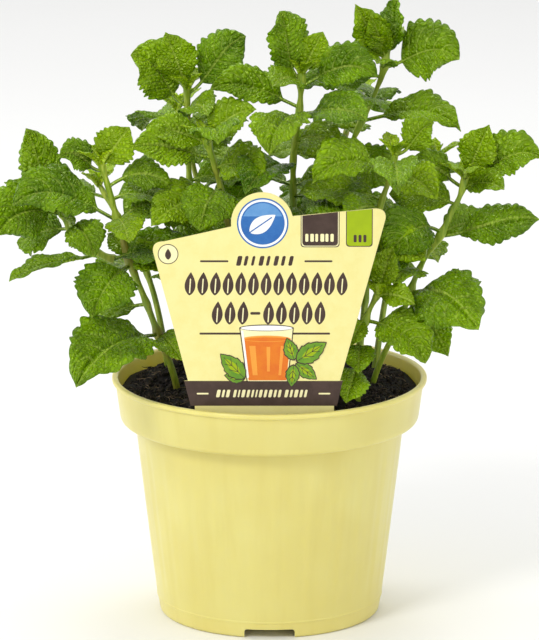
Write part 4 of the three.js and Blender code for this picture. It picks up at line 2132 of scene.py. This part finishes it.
@dataclass
class PlantLabel:
    """The die-cut card with its stake, and the print as thin raised inks.

    Printed places are in mm: x from the pot's axis, z from the rim.
    """

    drawn_width: float = 85.8
    ink_height: float = 0.025
    ink_root: float = 0.05
    edge: float = 0.16 * MM
    shapes: dict[Ink, list[tuple[Outline, int]]] = field(default_factory=dict)

    def __post_init__(self) -> None:
        """Read the card's place from the frame."""
        low, high = node_box("plant_label")
        self.rim_height = node_box("pot")[1][2]
        self.front = low[1]
        self.scale = (high[0] - low[0]) / self.drawn_width

    def put(self, ink: Ink, outline: Outline, layer: int = 1) -> None:
        """Print a shape.

        Args:
            ink: its colour.
            outline: its outline.
            layer: how many inks high it lies.
        """
        self.shapes.setdefault(ink, []).append((outline, layer))

    def card(self, stock: Material) -> None:
        """Make the card from the CAD node, with its edges eased.

        Args:
            stock: the card's material.
        """
        packed = PackedMesh("plant_label")
        work = bmesh_of(packed.points, packed.triangles.tolist())
        bmesh.ops.dissolve_limit(work, angle_limit=math.radians(1), verts=work.verts,
                                 edges=work.edges)
        rims = [edge for edge in work.edges
                if len(edge.link_faces) == 2 and edge.calc_face_angle() > math.radians(60)]
        bmesh.ops.bevel(work, geom=rims, offset=self.edge, segments=3, affect="EDGES",
                        profile=0.5, clamp_overlap=True)
        card = mesh_from_bmesh("label_card", work)
        card.data.shade_smooth()
        card.data.set_sharp_from_angle(angle=math.radians(50))
        finish_piece(card, [stock], ("plant_label",))

    def draw_badges(self) -> None:
        """Draw the disc, the seal and the two tabs along the upper edge."""
        middle = (-2.5, 70.4)
        for layer, (ink, radius) in enumerate(((Ink.BLUE, 9.5), (Ink.WHITE, 8.95),
                                               (Ink.BLUE, 8.1)), start=1):
            self.put(ink, disc(*middle, radius, 72), layer)
        self.put(Ink.SKY, [(x, z) for x, z in disc(*middle, 7.6, 72) if z > 72.6], 4)
        self.put(Ink.WHITE, leaf_outline(-7.3, 66.9, 11.6, 6.0, 35, 0), 5)
        self.put(Ink.BLUE, stroke((-8.0, 66.4), (0.9, 72.65), 0.45), 6)
        seal = (-37.4, 58.7)
        self.put(Ink.BROWN, disc(*seal, 3.8))
        self.put(Ink.CREAM, disc(*seal, 3.5), 2)
        self.put(Ink.BROWN, leaf_outline(-37.4, 56.6, 4.2, 2.2, 90, 0), 3)
        for layer, (ink, rim) in enumerate(((Ink.BROWN, 0.0), (Ink.CREAM, 0.3),
                                            (Ink.BROWN, 0.6)), start=1):
            self.put(ink, tab((11.5, 73.2), (25.8, 74.6), 61.3, rim), layer)
        for layer, (ink, rim) in enumerate(((Ink.BROWN, 0.0), (Ink.GREEN, 0.32)), start=1):
            self.put(ink, tab((28.2, 74.85), (38.0, 75.75), 61.5, rim), layer)
        for k, width in enumerate((1.1, 1.3, 1.0, 1.4, 1.1, 1.2)):
            self.put(Ink.CREAM, bar(13.2 + 1.85 * k, 13.2 + 1.85 * k + width, 63.4, 66.4, 0.4), 4)
        for k in range(3):
            self.put(Ink.BROWN, bar(31.0 + 1.8 * k, 32.1 + 1.8 * k, 63.2, 66.0, 0.4), 3)

    def draw_words(self) -> None:
        """Draw bars and leaves where the words would be."""
        self.put(Ink.BROWN, bar(-25.6, -15.2, 55.65, 56.35, 0.3))
        self.put(Ink.BROWN, bar(12.9, 23.2, 55.65, 56.35, 0.3))
        for k, width in enumerate((1.7, 1.2, 1.0, 1.6, 1.1, 1.5, 1.2, 1.4)):
            left = -12.0 + 2.75 * k
            self.put(Ink.BROWN, bar(left, left + width, 54.3, 58.0, 0.5, 0.8))
        for k in range(13):
            self.upright_leaf(-29.6 + 4.68 * k, 43.0, 8.9, 4.0, -4)
        for k in range(9):
            if k == 3:
                self.put(Ink.BROWN, bar(-7.1, -3.4, 35.7, 36.7, 0.4))
                continue
            self.upright_leaf(-19.6 + 4.75 * k, 31.9, 8.9, 4.0, -4)
        self.put(Ink.BROWN, bar(-25.9, 22.4, 28.1, 28.85, 0.3))

    def upright_leaf(self, x: float, z: float, length: float, width: float, lean: float) -> None:
        """Draw an upright brown leaf with a pale midrib.

        Args:
            x: the middle of its foot.
            z: the height of its foot.
            length: its length.
            width: its width.
            lean: its lean, in degrees.
        """
        self.put(Ink.BROWN, leaf_outline(x, z, length, width, 90 + lean, 0))
        rib = bar(-0.22, 0.22, 0.9, length * 0.72, 0.2)
        self.put(Ink.CREAM, turned(rib, x, z, lean), 2)

    def draw_glass(self) -> None:
        """Draw the glass of tea and the leaves beside it."""
        self.put(Ink.BROWN, [(-8.5, 10.1), (7.0, 10.1), (9.0, 30.6), (-11.2, 30.6)])
        self.put(Ink.BROWN, oval(-1.1, 30.6, 10.1, 1.35), 1)
        self.put(Ink.CREAM, [(-8.1, 10.3), (6.6, 10.3), (8.6, 30.4), (-10.8, 30.4)], 2)
        self.put(Ink.BROWN, oval(-1.1, 30.6, 9.8, 1.2), 3)
        self.put(Ink.WHITE, oval(-1.1, 30.6, 9.55, 0.98), 4)
        self.put(Ink.TEA, [(-7.7, 10.6), (6.2, 10.6), (7.9, 26.6), (-10.1, 26.6)], 3)
        self.put(Ink.FOAM, oval(-1.1, 26.5, 8.9, 1.2), 4)
        self.put(Ink.TEA, oval(-1.1, 26.3, 8.1, 0.75), 5)
        for shine in ([(-6.2, 12.6), (-4.4, 12.6), (-5.2, 23.8), (-7.5, 23.8)],
                      [(-0.9, 14.0), (0.1, 14.0), (0.3, 23.4), (-1.1, 23.4)],
                      [(3.3, 12.6), (4.3, 12.6), (5.4, 23.8), (4.2, 23.8)]):
            self.put(Ink.FOAM, shine, 4)
        self.put(Ink.WHITE, stroke((-10.1, 29.6), (-8.0, 11.6), 0.8), 6)
        leaves = ((-9.0, 11.2, 8.0, 5.0, 170), (-9.0, 11.2, 13.4, 7.4, 134),
                  (9.2, 18.2, 9.2, 5.6, 108), (9.8, 17.8, 13.6, 7.6, 33),
                  (9.6, 17.2, 10.2, 5.8, -38), (9.0, 16.8, 9.0, 5.4, -96))
        for index, (x, z, length, width, angle) in enumerate(leaves):
            self.drawn_leaf(x, z, length, width, angle, 3 + 3 * (index % 4))

    def drawn_leaf(self, x: float, z: float, length: float, width: float,
                   angle: float, layer: int) -> None:
        """Draw a green leaf with a dark outline and veins.

        Args:
            x: its stalk's end.
            z: its stalk's end.
            length: its length.
            width: its width.
            angle: its direction, in degrees.
            layer: how many inks high it lies.
        """
        turn = math.radians(angle)
        way = (math.cos(turn), math.sin(turn))
        self.put(Ink.BROWN, leaf_outline(x, z, length, width, angle, 5), layer)
        self.put(Ink.LEAF, leaf_outline(x + 0.45 * way[0], z + 0.45 * way[1], length - 0.9,
                                        width - 0.75, angle, 5), layer + 1)
        self.put(Ink.GREEN, leaf_outline(x + 0.2 * length * way[0], z + 0.2 * length * way[1],
                                         length * 0.62, width * 0.36, angle, 0), layer + 2)
        for start, stop, lift in ((0.5, length * 0.86, 0.0), (length * 0.28, length * 0.5, 1.0),
                                  (length * 0.28, length * 0.5, -1.0),
                                  (length * 0.52, length * 0.7, 0.8),
                                  (length * 0.52, length * 0.7, -0.8)):
            a = (x + start * way[0], z + start * way[1])
            b = (x + stop * way[0] - lift * width * 0.26 * way[1],
                 z + stop * way[1] + lift * width * 0.26 * way[0])
            self.put(Ink.BROWN, stroke(a, b, 0.2), layer + 3)

    def draw_band(self) -> None:
        """Draw the band across the foot of the card."""
        self.put(Ink.BROWN, [(-29.27, 0.83), (25.07, 0.83), (27.17, 10.37), (-31.67, 10.37)])
        for left, right in ((-27.0, -22.6), (18.2, 22.6)):
            self.put(Ink.CREAM, bar(left, right, 5.2, 5.8, 0.3), 2)
        place, gap = -19.6, 0.72
        for width in (1.3, 0.9, 1.2, 0.0, 1.0, 0.6, 1.2, 1.0, 0.8, 0.6, 1.1, 1.0, 1.2, 0.9, 1.0,
                      0.0, 1.2, 0.9, 1.3, 1.0, 0.9):
            if width:
                self.put(Ink.CREAM, bar(place, place + width, 4.1, 7.0, 0.4, 0.6), 2)
            place += width + gap

    def layer(self, ink: Ink, paint: Material) -> None:
        """Turn one colour's shapes into thin closed plates.

        Args:
            ink: the colour.
            paint: its material.
        """
        work = bmesh.new()
        for outline, layer in self.shapes[ink]:
            corners = np.array(outline)
            after = np.roll(corners, -1, axis=0)
            area = np.sum(corners[:, 0] * after[:, 1] - after[:, 0] * corners[:, 1])
            corners = corners if area > 0 else corners[::-1]
            near = self.front - self.ink_height * layer * MM
            far = self.front + self.ink_root * MM
            places = corners * self.scale
            fronts = [work.verts.new((x, near, z + self.rim_height)) for x, z in places]
            backs = [work.verts.new((x, far, z + self.rim_height)) for x, z in places]
            work.faces.new(fronts)
            work.faces.new(backs[::-1])
            for k in range(len(fronts)):
                work.faces.new((fronts[k - 1], backs[k - 1], backs[k], fronts[k]))
        bmesh.ops.recalc_face_normals(work, faces=work.faces)
        mesh = bpy.data.meshes.new(f"label_print_{ink.value}")
        work.to_mesh(mesh)
        work.free()
        piece = link(mesh.name, mesh)
        finish_piece(piece, [paint])

    def build(self, stock: Material, inks: dict[Ink, Material]) -> None:
        """Make the label.

        Args:
            stock: the card's material.
            inks: the material of each printed colour.
        """
        self.card(stock)
        self.draw_badges()
        self.draw_words()
        self.draw_glass()
        self.draw_band()
        for ink in self.shapes:
            self.layer(ink, inks[ink])
        log.info("label with %d printed shapes", sum(map(len, self.shapes.values())))


# ---- studio
@dataclass
class Studio:
    """A pale floor, soft lights and the camera."""

    elevation: float = math.radians(14.0)
    distance: float = 2.0
    aim_height: float = 0.1135
    lens: float = 296.0
    backdrop_strength: float = 0.76

    def build(self) -> None:
        """Make the floor, the lights and the camera."""
        scene = bpy.context.scene
        work = bmesh.new()
        bmesh.ops.create_grid(work, x_segments=4, y_segments=4, size=4.0)
        floor = mesh_from_bmesh("studio_floor", work)
        sheet = MaterialSheet("studio_floor_paper")
        cloud = sheet.noise(3.0, 2.0)
        white = sheet.mix(cloud, (0.86, 0.86, 0.85), (0.9, 0.9, 0.89))
        floor.data.materials.append(sheet.surface(Base_Color=white, Roughness=0.8))
        world = bpy.data.worlds.new("studio_world")
        world.use_nodes = True
        backdrop = world.node_tree.nodes["Background"]
        backdrop.inputs["Color"].default_value = (1.0, 1.0, 1.0, 1.0)
        backdrop.inputs["Strength"].default_value = self.backdrop_strength
        scene.world = world
        scene.view_settings.view_transform = "Standard"
        self.light("key", (-0.75, -1.1, 1.25), size=0.45, power=11.0)
        self.light("fill", (1.2, -1.0, 0.7), size=1.0, power=2.6)
        self.light("top", (0.1, 0.6, 1.4), size=0.6, power=6.0)
        self.light("edge", (-1.3, 0.45, 0.55), size=0.6, power=3.5)
        self.camera()

    def light(self, name: str, place: tuple[float, float, float], size: float,
              power: float) -> None:
        """Add a soft light that points at the plant.

        Args:
            name: its name.
            place: where it hangs.
            size: its side.
            power: its power in watts.
        """
        data = bpy.data.lights.new(f"studio_{name}", "AREA")
        data.size = size
        data.energy = power
        self.hang(data, place)

    def hang(self, data: ID, place: tuple[float, float, float]) -> Object:
        """Put a lamp or the camera into the scene, pointed at the plant.

        Args:
            data: the lamp or the camera.
            place: where it hangs.

        Returns:
            Its object.
        """
        thing = link(data.name, data)
        thing.location = place
        aim = Vector((0, 0, self.aim_height)) - thing.location
        thing.rotation_euler = aim.to_track_quat("-Z", "Y").to_euler()
        return thing

    def camera(self) -> None:
        """Add the camera, straight in front and a little above."""
        data = bpy.data.cameras.new("studio_camera")
        data.lens = self.lens
        data.sensor_width = 36.0
        data.clip_end = 20.0
        place = (0, -self.distance * math.cos(self.elevation),
                 self.aim_height + self.distance * math.sin(self.elevation))
        bpy.context.scene.camera = self.hang(data, place)


# ---- looks
LEAF_UPPER = LeafFinish(
    LeafSide.UPPER, shade=srgb(42, 84, 0), light=srgb(140, 184, 0), young=srgb(178, 210, 8),
    vein=srgb(200, 222, 96), valley=srgb(28, 66, 0), vein_strength=0.5, roughness=0.23,
    relief=1.0)
LEAF_UNDER = LeafFinish(
    LeafSide.UNDER, shade=srgb(122, 160, 16), light=srgb(154, 188, 34),
    young=srgb(170, 200, 50), vein=srgb(198, 214, 100), valley=srgb(184, 206, 84),
    vein_strength=0.7, roughness=0.56, relief=-1.0)
PEAT = SoilFinish("peat", srgb(12, 10, 9), srgb(48, 40, 35))
BARK = SoilFinish("peat_clods", srgb(16, 13, 12), srgb(92, 78, 66), 800.0)
ROOTS = SoilFinish("root_fibres", srgb(62, 50, 40), srgb(176, 152, 124), 120.0)
CARD = PrintFinish("label_card_stock", srgb(240, 231, 158), srgb(234, 223, 142), 0.45)
INKS = {
    Ink.BROWN: PrintFinish("ink_brown", srgb(62, 46, 38), srgb(82, 64, 56)),
    Ink.WHITE: PrintFinish("ink_white", srgb(250, 250, 246), srgb(238, 240, 236)),
    Ink.BLUE: PrintFinish("ink_blue", srgb(38, 96, 168), srgb(56, 118, 186), 0.3),
    Ink.SKY: PrintFinish("ink_sky", srgb(86, 142, 200), srgb(112, 162, 212), 0.3),
    Ink.GREEN: PrintFinish("ink_lime", srgb(152, 176, 0), srgb(164, 188, 0)),
    Ink.LEAF: PrintFinish("ink_leaf", srgb(88, 138, 34), srgb(128, 168, 44)),
    Ink.TEA: PrintFinish("ink_tea", srgb(228, 128, 30), srgb(220, 104, 34)),
    Ink.FOAM: PrintFinish("ink_tea_light", srgb(240, 164, 60), srgb(238, 148, 60)),
    Ink.CREAM: PrintFinish("ink_cream", srgb(248, 241, 190), srgb(240, 232, 170)),
}


def main() -> None:
    """Build the studio and the potted plant."""
    logging.basicConfig(level=logging.INFO, format="%(name)s: %(message)s")
    Studio().build()
    NurseryPot().build(PotFinish().material())
    PottingSoil().build(PEAT.material(), BARK.material(), ROOTS.material())
    inks = {ink: finish.material() for ink, finish in INKS.items()}
    PlantLabel().build(CARD.material(), inks)
    MintPlant().build(LEAF_UPPER.material(), LEAF_UNDER.material(), StemFinish().material())


if __name__ == "__main__":
    main()
